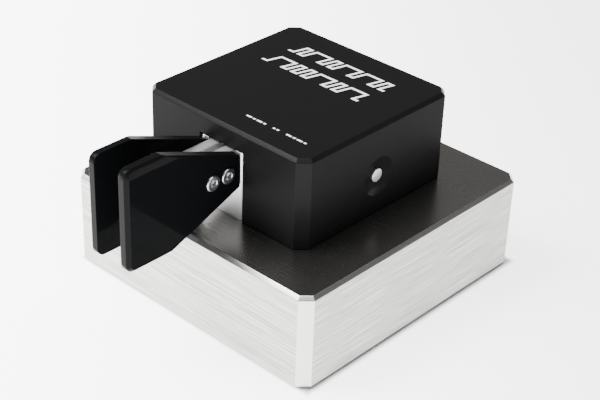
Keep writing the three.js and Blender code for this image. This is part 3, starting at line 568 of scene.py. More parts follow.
# Each finish has a colour, a roughness and whatever differs from the defaults of new_material.
FINISHES = {
    # base: long horizontal brush lines on its sides
    "brushed steel": ("steel", 0.36, dict(
        metallic=1.0, grain=ALONG_SIDES, contrast=0.10, depth=0.55, colour_spread=0.34,
        wear=0.6)),
    # base: a fine ground top that mirrors softly; its colour is darker than the sides' steel, painted shade
    # standing in for the dark ceiling that it mirrors
    "ground steel": ("ground_steel", 0.27, dict(
        metallic=1.0, grain=ALONG_X, contrast=0.45, depth=0.008, colour_spread=0.04,
        roughness_spread=0.015, wear=0.25, wear_width=0.0002, speck=0.25)),
    # base: straight milling lines underneath
    "faced steel": ("steel", 0.40, dict(
        metallic=1.0, grain=ALONG_X, contrast=0.2, depth=0.12, colour_spread=0.20,
        roughness_spread=0.06, wear=0.4)),
    # base: chamfers and corner flats, freshly cut; their colour is lighter than the sides' steel, partly a painted
    # highlight
    "milled steel edge": ("milled", 0.30, dict(
        metallic=1.0, contrast=0.4, depth=0.004, colour_spread=0.05, roughness_spread=0.01,
        wear=0.0)),
    # housing: satin black with a faint horizontal brush under the dye
    "black anodised aluminium": ("anodised", 0.40, dict(
        grain=ALONG_SIDES, contrast=0.28, depth=0.04, colour_spread=0.22,
        roughness_spread=0.03, wear=0.10, wear_width=0.0002, worn=(0.012, 0.012, 0.013),
        specular=0.02, speck=0.02)),
    # housing: an even, finely blasted top that takes the print
    "blasted black anodised": ("anodised", 0.42, dict(
        contrast=0.35, depth=0.03, colour_spread=0.16, roughness_spread=0.03, wear=0.10,
        wear_width=0.0002, worn=(0.012, 0.012, 0.013), specular=0.02, speck=0.02)),
    # housing: chamfers cut finer than its faces, so the dye looks glossier
    "anodised chamfer": ("anodised", 0.30, dict(
        contrast=0.4, depth=0.01, colour_spread=0.1, roughness_spread=0.02, wear=0.15,
        wear_width=0.0002, worn=(0.014, 0.014, 0.015), specular=0.05)),
    # lever block, arms and bridge: fine milling along their length
    "satin aluminium": ("aluminium", 0.38, dict(
        metallic=0.85, grain=ALONG_Y, depth=0.05, colour_spread=0.05)),
    # fingerpieces: polished flat faces
    "polished black acrylic": ("acrylic", 0.05, dict(
        contrast=0.4, depth=0.004, colour_spread=0.1, roughness_spread=0.015, wear=0.1,
        worn=(0.006, 0.006, 0.006), specular=0.018, speck=0.003)),
    # fingerpieces: cut edges and bevels, which stay satin
    "machined black acrylic": ("sawn_acrylic", 0.30, dict(
        grain=ALONG_SIDES, contrast=0.3, depth=0.04, colour_spread=0.2, roughness_spread=0.05,
        wear=0.2, worn=(0.009, 0.009, 0.009), specular=0.032, speck=0.02)),
    # push buttons: faced on a lathe
    "turned steel": ("turned", 0.36, dict(
        metallic=1.0, rings=5000.0, depth=0.02, colour_spread=0.10, wear=0.2)),
    # pivot and stop pins: ground bar
    "ground pin steel": ("turned", 0.18, dict(metallic=1.0, depth=0.03, colour_spread=0.05)),
    # screws under the base and inside the key
    "zinc plate": ("zinc", 0.30, dict(metallic=1.0, colour_spread=0.10, wear=0.5)),
    # fingerpiece screws, magnets, nut and cell
    "nickel plate": ("nickel", 0.28, dict(
        metallic=1.0, depth=0.01, colour_spread=0.05, roughness_spread=0.03, wear=0.2)),
    # return springs
    "spring wire": ("spring", 0.30, dict(metallic=1.0, depth=0.05)),
    # spacers of the circuit board
    "turned brass": ("brass", 0.28, dict(metallic=1.0, depth=0.05)),
    # thrust washers
    "natural nylon": ("nylon", 0.50, dict(depth=0.05, colour_spread=0.05)),
    # feet: matt, with a fine moulded grain
    "foot rubber": ("rubber", 0.80, dict(
        depth=0.35, colour_spread=0.2, wear=0.2, worn=(0.05, 0.05, 0.05), specular=0.3,
        speck=0.3)),
    # switches, chips, sockets and the cell's cup
    "moulded black plastic": ("plastic", 0.50, dict(
        depth=0.18, colour_spread=0.15, worn=(0.06, 0.06, 0.06))),
    # printed marks: slightly chalky
    "white printing ink": ("ink", 0.55, dict(colour_spread=0.03, wear=0.0, specular=0.3)),
    # circuit board
    "solder mask": ("solder_mask", 0.34, dict(depth=0.05, colour_spread=0.1)),
}

SLOT_FINISH = {
    "base_steel": "brushed steel",
    "black_anodised": "black anodised aluminium",
    "satin_aluminium": "satin aluminium",
    "turned_steel": "ground pin steel",
    "smoked_acrylic": "polished black acrylic",
    "zinc_steel": "zinc plate",
    "nickel": "nickel plate",
    "spring_steel": "spring wire",
    "brass": "turned brass",
    "nylon": "natural nylon",
    "foot_rubber": "foot rubber",
    "board_green": "solder mask",
    "black_plastic": "moulded black plastic",
}


def new_material(name, shade, roughness, metallic=0.0, grain=EVEN, contrast=0.25, depth=0.06,
                 colour_spread=0.12, roughness_spread=0.08, wear=0.3, wear_width=0.0003,
                 worn=None, specular=0.5, rings=0.0, speck=0.0):
    """A material of one shade whose grain, handling marks and worn edges vary it."""
    made = bpy.data.materials.new(name)
    made.use_nodes = True
    tree = made.node_tree
    shader = tree.nodes["Principled BSDF"]
    shader.inputs["Metallic"].default_value = metallic
    shader.inputs["Specular IOR Level"].default_value = specular
    if rings > 0:
        marks = effect(tree, "Turning rings", {"Rings per metre": rings})
    else:
        marks = effect(tree, "Grain streaks", {"Scale": grain, "Contrast": contrast})
    handling = effect(tree, "Handling marks", {})
    edges = effect(tree, "Edge wear", {"Width": wear_width, "Amount": wear})

    def toned(factor, more=0.0, most=1.0):
        """The shade made darker or lighter, as a colour with alpha."""
        return (*(min(factor * value + more, most) for value in shade), 1.0)

    grained = blend(tree, marks.outputs["Value"], toned(1 - colour_spread),
                    toned(1 + colour_spread))
    faint = maths(tree, "MULTIPLY", handling.outputs["Specks"], speck)
    dusty = blend(tree, faint, grained, toned(1.0, DUST))
    rubbed = (*worn, 1.0) if worn else toned(**RUBBED)
    edged = blend(tree, edges.outputs["Mask"], dusty, rubbed)
    tree.links.new(edged, shader.inputs["Base Color"])
    fine = remap(tree, marks.outputs["Value"], 0.0, 1.0, roughness - roughness_spread,
                 roughness + roughness_spread)
    broad = remap(tree, handling.outputs["Patches"], 0.0, 1.0, -roughness_spread / 3,
                  roughness_spread / 3)
    tree.links.new(maths(tree, "ADD", fine, broad, clamp=True), shader.inputs["Roughness"])
    bump = node(tree, "ShaderNodeBump", Height=marks.outputs["Value"], Strength=depth,
                Distance=BUMP_DISTANCE)
    tree.links.new(bump.outputs[0], shader.inputs["Normal"])
    return made


def show_traces(tree):
    """Copper traces that show through the circuit board's green mask."""
    base = tree.nodes["Principled BSDF"].inputs["Base Color"]
    lanes = node(tree, "ShaderNodeTexBrick", {"offset": 0.37}, Vector=object_place(tree),
                 Scale=420.0, Mortar_Size=0.05, Brick_Width=2.3, Row_Height=0.55)
    mixed = blend(tree, lanes.outputs["Fac"], base.links[0].from_socket, (0.05, 0.21, 0.07, 1.0))
    tree.links.new(mixed, base)


def finish(name):
    """The material of a finish, made when it is first asked for."""
    known = bpy.data.materials.get(name)
    if known:
        return known
    shade, roughness, values = FINISHES[name]
    colours = bpy.context.scene.morse_key_finishes
    made = new_material(name, tuple(getattr(colours, shade)), roughness, **values)
    if name == "solder mask":
        show_traces(made.node_tree)
    return made


def slot_of(name):
    """The record's material slot of a CAD node."""
    for part in frame["record"]["subparts"]:
        if part["node"] == name:
            return part["material_slot"]
    raise RuntimeError(f"the record has no subpart {name}")


# ---- operators: base

M4 = {"head": 4.0 * MM, "socket": 3.0 * MM, "depth": 2.0 * MM, "shank": 2.0 * MM,
      "finish": "zinc plate"}
M25 = {"head": 1.5 * MM, "socket": 2.0 * MM, "depth": 1.1 * MM, "shank": 1.25 * MM,
       "finish": "nickel plate"}
CUT_SPAN = 1.5
FOOT_EDGE = 0.45 * MM
FOOT_GROOVE = 0.12 * MM
FOOT_GROOVE_RINGS = (0.6, 0.62, 0.7, 0.72)
FOOT_GAP = 0.1 * MM
STUD_RADIUS = 1.4 * MM
STUD_LENGTH = 4.0 * MM
TIP_GAP = 0.5 * MM
SCREW_TIP = 0.3 * MM
HEAD_ROUNDING = 0.22
SOCKET_CONE = 0.4
MOUTH_DEPTH = 0.12
MOUTH_RINGS = (0.9, 1.12)
MOUTH_LIFT = 0.02 * MM
BUTTON_RADIUS = 2.0 * MM
BUTTON_EDGE = 0.2 * MM
BUTTON_STEM = 1.1 * MM
BUTTON_FLANGE = 1.0 * MM
BUSH_RADIUS = 2.95 * MM
BUSH_OVERLAP = 1.0 * MM
BUSH_EDGE = 0.25 * MM
BORE_RADIUS = 1.8 * MM
BORE_DEPTH = 14.0 * MM
BORE_FLARE = 0.5 * MM
FLARE_HEIGHTS = (-0.4 * MM, 0.1 * MM)
NUT_FACE = 0.9
NUT_REACH = 1.02
NUT_SLOPE = 0.15
LEVER_WIRE = 0.35 * MM
LEVER_TURNS = 3.0
BUTTON_WIRE = 0.4 * MM
BUTTON_TURNS = 3.5


def half_width(name):
    """Half of a CAD node's extent along X: the radius of an upright round piece."""
    low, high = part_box(name)
    return (high.x - low.x) / 2


def half_height(name):
    """Half of a CAD node's extent along Z: the radius of a round piece that lies down."""
    low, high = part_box(name)
    return (high.z - low.z) / 2


def centre(name):
    """The middle of a CAD node's box."""
    low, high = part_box(name)
    return (low + high) / 2


class MORSE_KEY_OT_base(bpy.types.Operator):
    """Build the steel base block with its counterbores and foot recesses"""
    bl_idname = "morse_key.base"
    bl_label = "Base Block"

    def execute(self, context):
        sizes = context.scene.morse_key_sizes
        low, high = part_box("base_block")
        steps = sizes.turn_steps
        piece = piece_of("base_body", chamfered_block(low, high, sizes.corner_cut,
                                                      sizes.top_chamfer),
                         finish("brushed steel"), finish("ground steel"),
                         finish("milled steel edge"), finish("faced steel"))
        tools = []
        for name in HOUSING_SCREWS + BLOCK_SCREWS:
            spot = centre(name)
            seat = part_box(name)[0].z + M4["head"]
            wide = half_width(name) + sizes.counterbore_gap
            narrow = M4["shank"] + sizes.screw_gap
            tool = turned([(0, low.z - PAST), (wide, low.z - PAST), (wide, seat),
                           (narrow, seat), (narrow, high.z + PAST), (0, high.z + PAST)], steps)
            tools.append((tool, Matrix.Translation((spot.x, spot.y, 0))))
        for corner in CORNERS:
            spot = centre(f"foot_{corner}")
            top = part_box(f"foot_{corner}")[1].z
            tool = rod(spot.x, spot.y, low.z - PAST, top, half_width(f"foot_{corner}") + FOOT_GAP,
                       steps)
            tools.append((tool, Matrix()))
            spot = centre(f"standoff_{corner}")
            tool = rod(spot.x, spot.y, high.z - STUD_LENGTH - TIP_GAP, high.z + PAST,
                       STUD_RADIUS + sizes.thread_gap, steps // 2)
            tools.append((tool, Matrix()))
        carve(piece, joined(tools))
        finish_block(piece, low, high, sizes, top=1, cut=2)
        finish_faces(piece, 3, lambda normal, spot: normal.z < -FLAT
                     and spot.z < low.z + sizes.top_chamfer / 2)
        ease(piece, sizes.edge_break)
        stand_for(piece, "base_block", "base")
        return {"FINISHED"}


class MORSE_KEY_OT_feet(bpy.types.Operator):
    """Build the four rubber feet"""
    bl_idname = "morse_key.feet"
    bl_label = "Feet"

    def execute(self, context):
        steps = context.scene.morse_key_sizes.turn_steps
        for corner in CORNERS:
            name = f"foot_{corner}"
            low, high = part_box(name)
            radius = half_width(name)
            middle = centre(name)
            tall = high.z - low.z
            heights = (0, FOOT_GROOVE, FOOT_GROOVE, 0)
            profile = [(0, 0)]
            profile += [(share * radius, z) for share, z in zip(FOOT_GROOVE_RINGS, heights)]
            profile += [(r, tall - z) for r, z in rounded(radius, tall, FOOT_EDGE)]
            profile += [(radius, tall), (0, tall)]
            piece = piece_of(f"rubber_{name}", turned(profile, steps), finish("foot rubber"),
                             place=Matrix.Translation((middle.x, middle.y, low.z)))
            smooth_by_angle(piece)
            stand_for(piece, name, "base")
        return {"FINISHED"}


# ---- operators: housing

class MORSE_KEY_OT_housing(bpy.types.Operator):
    """Build the black housing with its slot, dished button recesses and rear hole"""
    bl_idname = "morse_key.housing"
    bl_label = "Housing"

    def dish(self, sizes, side, low, high):
        """The round mill that makes a button's recess and its hole."""
        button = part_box(f"push_button_{side}")
        reach = sizes.dish_radius
        depth = sizes.dish_depth
        sphere = (reach ** 2 + depth ** 2) / (2 * depth)
        half = math.asin(reach / sphere)
        steps = 2 * sizes.arc_steps
        hole = BUTTON_RADIUS + sizes.button_gap
        start = math.asin(hole / sphere)
        profile = [(0, -sizes.wall - PAST), (hole, -sizes.wall - PAST)]
        for i in range(steps + 1):
            angle = start + (half - start) * i / steps
            profile.append((sphere * math.sin(angle),
                            sphere - depth - sphere * math.cos(angle)))
        profile += [(reach, PAST), (0, PAST)]
        face = high.x if side == "right" else low.x
        middle = (button[0] + button[1]) / 2
        return (turned(profile, sizes.turn_steps),
                facing((face, middle.y, middle.z), (SIDES[side], 0, 0)))

    def execute(self, context):
        sizes = context.scene.morse_key_sizes
        low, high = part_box("housing")
        middle = (low + high) / 2
        half = (high - low) / 2
        piece = piece_of("housing_shell", chamfered_block(low, high, sizes.corner_cut,
                                                          sizes.top_chamfer, sizes.seam),
                         finish("black anodised aluminium"), finish("anodised chamfer"),
                         finish("blasted black anodised"))
        ceiling = high.z - sizes.roof
        wide = (half.x - sizes.wall, half.y - sizes.wall)
        tight = (half.x - sizes.post, half.y - sizes.post)
        corner_points = [(wide[0], tight[1]), (tight[0], tight[1]), (tight[0], wide[1])]
        outline = []
        for sx, sy in ((1, 1), (-1, 1), (-1, -1), (1, -1)):
            turn = corner_points if sx * sy > 0 else reversed(corner_points)
            outline += [(middle.x + sx * x, middle.y + sy * y) for x, y in turn]
        cavity = prism(outline, low.z - PAST, ceiling)
        slot = box((middle.x - sizes.slot_width / 2, low.y - PAST, low.z - PAST),
                   (middle.x + sizes.slot_width / 2, low.y + sizes.wall + PAST,
                    ceiling - sizes.slot_headroom))
        jack = centre("jack_nut")
        bush = BUSH_RADIUS + sizes.screw_gap
        tools = [self.dish(sizes, side, low, high) for side in SIDES]
        tools.append((rod(0, 0, -sizes.wall - PAST, PAST, bush, sizes.turn_steps),
                      facing((jack.x, high.y, jack.z), (0, 1, 0))))
        for name in HOUSING_SCREWS:
            spot = centre(name)
            tools.append((rod(spot.x, spot.y, low.z - PAST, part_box(name)[1].z + TIP_GAP,
                              M4["shank"] + sizes.thread_gap, sizes.turn_steps // 2), Matrix()))
        carve(piece, cavity, slot, joined(tools))
        finish_block(piece, low, high, sizes, top=2, cut=1)
        ease(piece, sizes.edge_break)
        stand_for(piece, "housing", "base")
        return {"FINISHED"}


class MORSE_KEY_OT_marks(bpy.types.Operator):
    """Print a plain keyed trace and a row of dots and dashes on top of the housing"""
    bl_idname = "morse_key.marks"
    bl_label = "Printed Marks"

    TRACES = (".-.--.", "-..-.-")
    ROW = "-.-.  ..  -.-."
    LEAN = 0.28
    FIRST_LINE = (11.6 * MM, 15.2 * MM)
    LINE_STEP = (1.2 * MM, 9.6 * MM)
    ROW_PLACE = (1.5 * MM, -22.3 * MM)
    ROW_RUNS = {".": 0.8 * MM, "-": 1.9 * MM, " ": 0.5 * MM}
    ROW_GAP = 0.55 * MM
    ROW_HEIGHT = 0.6 * MM

    def trace(self, sizes, code, left, base):
        """A stroke that steps up for each dot and dash of the code, leaning to the right."""
        unit = sizes.print_unit
        tall = sizes.print_height
        path = [(0.0, 0.0)]
        x = unit
        for mark in code:
            run = unit if mark == "." else 3 * unit
            path += [(x, 0.0), (x, tall), (x + run, tall), (x + run, 0.0)]
            x += run + unit
        path.append((x, 0.0))
        half = sizes.print_stroke / 2
        sides = ([], [])
        for i, (px, py) in enumerate(path):
            before = path[max(i - 1, 0)]
            after = path[min(i + 1, len(path) - 1)]
            coming = Vector((px - before[0], py - before[1]))
            going = Vector((after[0] - px, after[1] - py))
            coming = (coming if coming.length > 0 else going).normalized()
            going = (going if going.length > 0 else coming).normalized()
            offset = Vector((-coming.y, coming.x)) + Vector((-going.y, going.x))
            if coming.dot(going) > 0.5:
                offset /= 2
            sides[0].append((px + half * offset.x, py + half * offset.y))
            sides[1].append((px - half * offset.x, py - half * offset.y))
        flat = sides[0] + sides[1][::-1]
        return [(left + px + self.LEAN * py, base + py) for px, py in flat]

    def execute(self, context):
        sizes = context.scene.morse_key_sizes
        low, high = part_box("housing")
        middle = (low + high) / 2
        film = sizes.print_film
        shapes = []
        for i, code in enumerate(self.TRACES):
            left = low.x + self.FIRST_LINE[0] - self.LINE_STEP[0] * i
            foot = middle.y + self.FIRST_LINE[1] - self.LINE_STEP[1] * i
            outline = self.trace(sizes, code, left, foot)
            shapes.append((prism(outline, high.z, high.z + film), Matrix()))
        x = middle.x + self.ROW_PLACE[0]
        y = middle.y + self.ROW_PLACE[1]
        for mark in self.ROW:
            run = self.ROW_RUNS[mark]
            if mark != " ":
                bar = [(x, y), (x + run, y), (x + run, y + self.ROW_HEIGHT),
                       (x, y + self.ROW_HEIGHT)]
                shapes.append((prism(bar, high.z, high.z + film), Matrix()))
            x += run + self.ROW_GAP
        piece = piece_of("printed_marks", joined(shapes), finish("white printing ink"))
        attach(piece, "base")
        return {"FINISHED"}


# ---- operators: levers

class MORSE_KEY_OT_levers(bpy.types.Operator):
    """Build the lever block and the two arms"""
    bl_idname = "morse_key.levers"
    bl_label = "Lever Block and Arms"

    def execute(self, context):
        width = context.scene.morse_key_sizes.edge_break
        milled_copy("lever_block", "base", width)
        for side in SIDES:
            milled_copy(f"arm_{side}", f"{side}_lever", 0.7 * width)
        return {"FINISHED"}


class MORSE_KEY_OT_fingerpieces(bpy.types.Operator):
    """Build the two bevelled fingerpieces"""
    bl_idname = "morse_key.fingerpieces"
    bl_label = "Fingerpieces"

    def outline(self, sizes, length_y, height):
        """The shovel outline as (y, z) from the front edge, about the middle height, and the
        outward directions and points of the facets round the pad."""
        top = height / 2
        neck = sizes.neck_height / 2
        r = sizes.pad_corner
        slope = math.atan2(top - neck, length_y - sizes.pad_length)
        heel = sizes.pad_heel
        steps = sizes.arc_steps
        quarter = [math.pi / 2 * i / steps for i in range(steps + 1)]
        points = [(r - r * math.cos(a), top - r + r * math.sin(a)) for a in quarter]
        points += [(sizes.pad_length, top), (length_y, neck), (length_y, -neck)]
        run = sizes.pad_length - heel * math.tan(slope / 2)
        points += [(run + heel * math.sin(slope * (1 - i / steps)),
                    -top + heel - heel * math.cos(slope * (1 - i / steps)))
                   for i in range(steps + 1)]
        points += [(r - r * math.sin(a), -top + r - r * math.cos(a)) for a in quarter]
        facets = [((0.0, 1.0), (r, top)), ((0.0, -1.0), (r, -top)), ((-1.0, 0.0), (0.0, 0.0))]
        apothem = r * math.cos(math.pi / 4 / steps)
        for i in range(steps):
            a = math.pi / 2 * (i + 0.5) / steps
            for sign in (-1, 1):
                away = (-math.cos(a), sign * math.sin(a))
                facets.append((away, (r + apothem * away[0],
                                      sign * (top - r) + apothem * away[1])))
        return points, facets, slope

    def slice_off(self, bm, point, normal):
        """Takes off everything beyond a plane and closes the cut."""
        geometry = bm.verts[:] + bm.edges[:] + bm.faces[:]
        found = bmesh.ops.bisect_plane(bm, geom=geometry, dist=1e-8, plane_co=point,
                                       plane_no=normal, clear_outer=True)
        edges = [e for e in found["geom_cut"] if isinstance(e, bmesh.types.BMEdge)
                 and len(e.link_faces) < 2]
        if edges:
            bmesh.ops.edgeloop_fill(bm, edges=edges)

    def build(self, sizes, side):
        """One fingerpiece, cut from plate with its bevels and its two screw holes."""
        name = f"fingerpiece_{side}"
        low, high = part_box(name)
        thick = high.x - low.x
        points, facets, slope = self.outline(sizes, high.y - low.y, high.z - low.z)
        bm = prism(points, 0.0, thick)
        bm.transform(Matrix(((0, 0, 1, 0), (1, 0, 0, 0), (0, 1, 0, 0), (0, 0, 0, 1))))
        for (away_y, away_z), (y, z) in facets:
            self.slice_off(bm, (thick - sizes.pad_bevel, y, z), (1, away_y, away_z))
        top = (high.z - low.z) / 2
        lean = math.atan2(sizes.facet_depth, sizes.facet_height)
        self.slice_off(bm, (thick, 0, top - sizes.pad_bevel - sizes.facet_height),
                       (math.cos(lean), 0, math.sin(lean)))
        rise = (math.sin(slope), math.cos(slope))
        self.slice_off(bm, (thick - sizes.neck_bevel, sizes.pad_length, top), (1, *rise))
        middle_z = (low.z + high.z) / 2
        inner = low.x if side == "right" else high.x
        flip = Matrix.Diagonal((SIDES[side], 1, 1, 1))
        bm.transform(Matrix.Translation((inner, low.y, middle_z)) @ flip)
        bmesh.ops.recalc_face_normals(bm, faces=bm.faces)
        piece = piece_of(f"acrylic_{name}", bm, finish("polished black acrylic"),
                         finish("machined black acrylic"))
        holes = []
        for end in ("front", "rear"):
            spot = centre(f"fingerpiece_screw_{side}_{end}")
            hole = M25["shank"] + sizes.screw_gap
            seat = half_height(f"fingerpiece_screw_{side}_{end}") + sizes.head_gap
            floor = thick - sizes.pad_counterbore
            tool = turned([(0, -PAST), (hole, -PAST), (hole, floor), (seat, floor),
                           (seat, thick + PAST), (0, thick + PAST)], sizes.turn_steps)
            holes.append((tool, facing((inner, spot.y, spot.z), (SIDES[side], 0, 0))))
        carve(piece, joined(holes))
        finish_faces(piece, 1, lambda normal, spot: abs(normal.x) < FLAT)
        ease(piece, 0.8 * sizes.edge_break, angle=20.0)
        stand_for(piece, name, f"{side}_lever")

    def execute(self, context):
        for side in SIDES:
            self.build(context.scene.morse_key_sizes, side)
        return {"FINISHED"}


# ---- operators: screws, buttons and the key socket

class MORSE_KEY_OT_screws(bpy.types.Operator):
    """Build the socket-head screws that show: in the fingerpieces and under the base"""
    bl_idname = "morse_key.screws"
    bl_label = "Socket-head Screws"

    def screw(self, sizes, name, body, kind, outward):
        """One screw, drawn with its head's face at z = 0 and its shank below."""
        low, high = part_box(name)
        middle = (low + high) / 2
        away = Vector(outward)
        extent = [abs(d) * (h - l) for d, l, h in zip(away, low, high)]
        reach = sum(extent)
        radius = (high.y - low.y) / 2
        head = kind["head"]
        shank = kind["shank"]
        profile = [(0, 0), *rounded(radius, 0.0, HEAD_ROUNDING * head), (radius, -head),
                   (shank, -head), (shank, SCREW_TIP - reach), (shank - SCREW_TIP, -reach),
                   (0, -reach)]
        face = middle + away * reach / 2
        piece = piece_of(f"turned_{name}", turned(profile, sizes.turn_steps),
                         finish(kind["finish"]), place=facing(face, away))
        corner = kind["socket"] / math.sqrt(3)
        depth = kind["depth"]
        hexagon = turned([(0, -depth - SOCKET_CONE * corner), (corner, -depth),
                          (corner, PAST), (0, PAST)], 6)
        hexagon.transform(piece.matrix_world)
        inner, outer = (share * corner for share in MOUTH_RINGS)
        mouth = turned([(0, -MOUTH_DEPTH * head), (inner, -MOUTH_DEPTH * head),
                        (outer, MOUTH_LIFT), (outer, PAST), (0, PAST)], sizes.turn_steps)
        mouth.transform(piece.matrix_world)
        carve(piece, hexagon, mouth)
        smooth_by_angle(piece, 25.0)
        stand_for(piece, name, body)

    def execute(self, context):
        sizes = context.scene.morse_key_sizes
        for name in HOUSING_SCREWS + BLOCK_SCREWS:
            self.screw(sizes, name, "base", M4, (0, 0, -1))
        for side, sign in SIDES.items():
            for end in ("front", "rear"):
                self.screw(sizes, f"fingerpiece_screw_{side}_{end}", f"{side}_lever", M25,
                           (sign, 0, 0))
        return {"FINISHED"}


class MORSE_KEY_OT_buttons(bpy.types.Operator):
    """Build the two turned push buttons"""
    bl_idname = "morse_key.buttons"
    bl_label = "Push Buttons"

    def execute(self, context):
        sizes = context.scene.morse_key_sizes
        for side, sign in SIDES.items():
            name = f"push_button_{side}"
            low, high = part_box(name)
            middle = (low + high) / 2
            reach = high.x - low.x
            flange = (high.z - low.z) / 2
            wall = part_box("housing")
            outside = wall[1].x if sign > 0 else wall[0].x
            face_x = high.x if sign > 0 else low.x
            behind = sizes.wall - abs(outside - face_x) + sizes.thread_gap
            back = behind + BUTTON_FLANGE
            profile = [(0, 0), *rounded(BUTTON_RADIUS, 0.0, BUTTON_EDGE),
                       (BUTTON_RADIUS, -behind), (flange, -behind), (flange, -back),
                       (BUTTON_STEM, -back), (BUTTON_STEM, -reach), (0, -reach)]
            piece = piece_of(f"turned_{name}", turned(profile, sizes.turn_steps),
                             finish("turned steel"),
                             place=facing((face_x, middle.y, middle.z), (sign, 0, 0)))
            smooth_by_angle(piece)
            stand_for(piece, name, f"{side}_button")
        return {"FINISHED"}


class MORSE_KEY_OT_socket(bpy.types.Operator):
    """Build the key socket in the rear wall and its nut"""
    bl_idname = "morse_key.socket"
    bl_label = "Key Socket"

    def execute(self, context):
        sizes = context.scene.morse_key_sizes
        low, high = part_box("key_jack")
        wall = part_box("housing")[1].y - sizes.wall - sizes.thread_gap
        steps = sizes.turn_steps
        nut_low, nut_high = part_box("jack_nut")
        middle = (nut_low + nut_high) / 2
        piece = piece_of("moulded_key_jack", box(low, (high.x, wall, high.z)),
                         finish("moulded black plastic"))
        reach = high.y - wall + BUSH_OVERLAP
        place = facing((middle.x, high.y, middle.z), (0, 1, 0))
        stub = turned([(0, -reach), (BUSH_RADIUS, -reach),
                       *reversed(rounded(BUSH_RADIUS, 0.0, BUSH_EDGE)), (0, 0)], steps)
        stub.transform(place)
        carve(piece, stub, operation="UNION")
        mouth = BORE_RADIUS + BORE_FLARE
        hole = turned([(0, -BORE_DEPTH), (BORE_RADIUS, -BORE_DEPTH),
                       (BORE_RADIUS, FLARE_HEIGHTS[0]), (mouth, FLARE_HEIGHTS[1]),
                       (mouth, PAST), (0, PAST)], steps)
        hole.transform(place)
        carve(piece, hole)
        smooth_by_angle(piece)
        stand_for(piece, "key_jack", "base")
        thick = nut_high.y - nut_low.y
        corner = (nut_high.z - nut_low.z) / 2
        side_corner = (nut_high.x - nut_low.x) / 2
        widest = max(corner, side_corner)
        phase = math.pi / 6 if corner > side_corner else 0.0
        seat = facing((middle.x, nut_high.y, middle.z), (0, 1, 0))
        nut = piece_of("plated_jack_nut", turned([(0, -thick), (widest, -thick), (widest, 0),
                                                  (0, 0)], 6), finish("nickel plate"))
        nut.data.transform(seat @ Matrix.Rotation(phase, 4, "Z"))
        face = NUT_FACE * widest
        side = NUT_REACH * widest
        barrel = turned([(0, -thick), (face, -thick), (side, (NUT_SLOPE - 1) * thick),
                         (side, -NUT_SLOPE * thick), (face, 0), (0, 0)], steps)
        barrel.transform(seat)
        carve(nut, barrel, operation="INTERSECT")
        thread = rod(0, 0, -thick - PAST, PAST, BUSH_RADIUS + sizes.thread_gap, steps)
        thread.transform(seat)
        carve(nut, thread)
        ease(nut, 0.5 * sizes.edge_break)
        stand_for(nut, "jack_nut", "base")
        return {"FINISHED"}


class MORSE_KEY_OT_springs(bpy.types.Operator):
    """Wind the return springs"""
    bl_idname = "morse_key.springs"
    bl_label = "Return Springs"

    def wind(self, name, joint, wire, turns, travel, fixed_side):
        """One spring; fixed_side is not used."""
        low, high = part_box(name)
        piece = piece_of(f"wound_{name}", coil(low, high, wire, turns),
                         finish("spring wire"))
        smooth_by_angle(piece)
        stand_for(piece, name, "base")
        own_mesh(piece)

    def execute(self, context):
        joints = {joint["name"]: joint for joint in frame["joints"]}
        for side, sign in SIDES.items():
            lever = joints[f"{side}_lever_press"]
            name = f"lever_spring_{side}"
            reach = centre(name).y - lever["pos_m"][1]
            travel = reach * math.sin(math.radians(lever["range_deg"][1]))
            self.wind(name, lever["name"], LEVER_WIRE, LEVER_TURNS, travel, sign)
            button = joints[f"{side}_button_press"]
            self.wind(f"button_spring_{side}", button["name"], BUTTON_WIRE, BUTTON_TURNS,
                      button["range_m"][1], -sign)
        return {"FINISHED"}


class MORSE_KEY_OT_inside(bpy.types.Operator):
    """Give every carried-over piece inside the key its finish"""
    bl_idname = "morse_key.inside"
    bl_label = "Inside Pieces"

    def execute(self, context):
        for name, piece in frame["nodes"].items():
            made = finish(SLOT_FINISH[slot_of(name)])
            for place in piece.material_slots:
                place.material = made
        return {"FINISHED"}


# ---- operators: studio

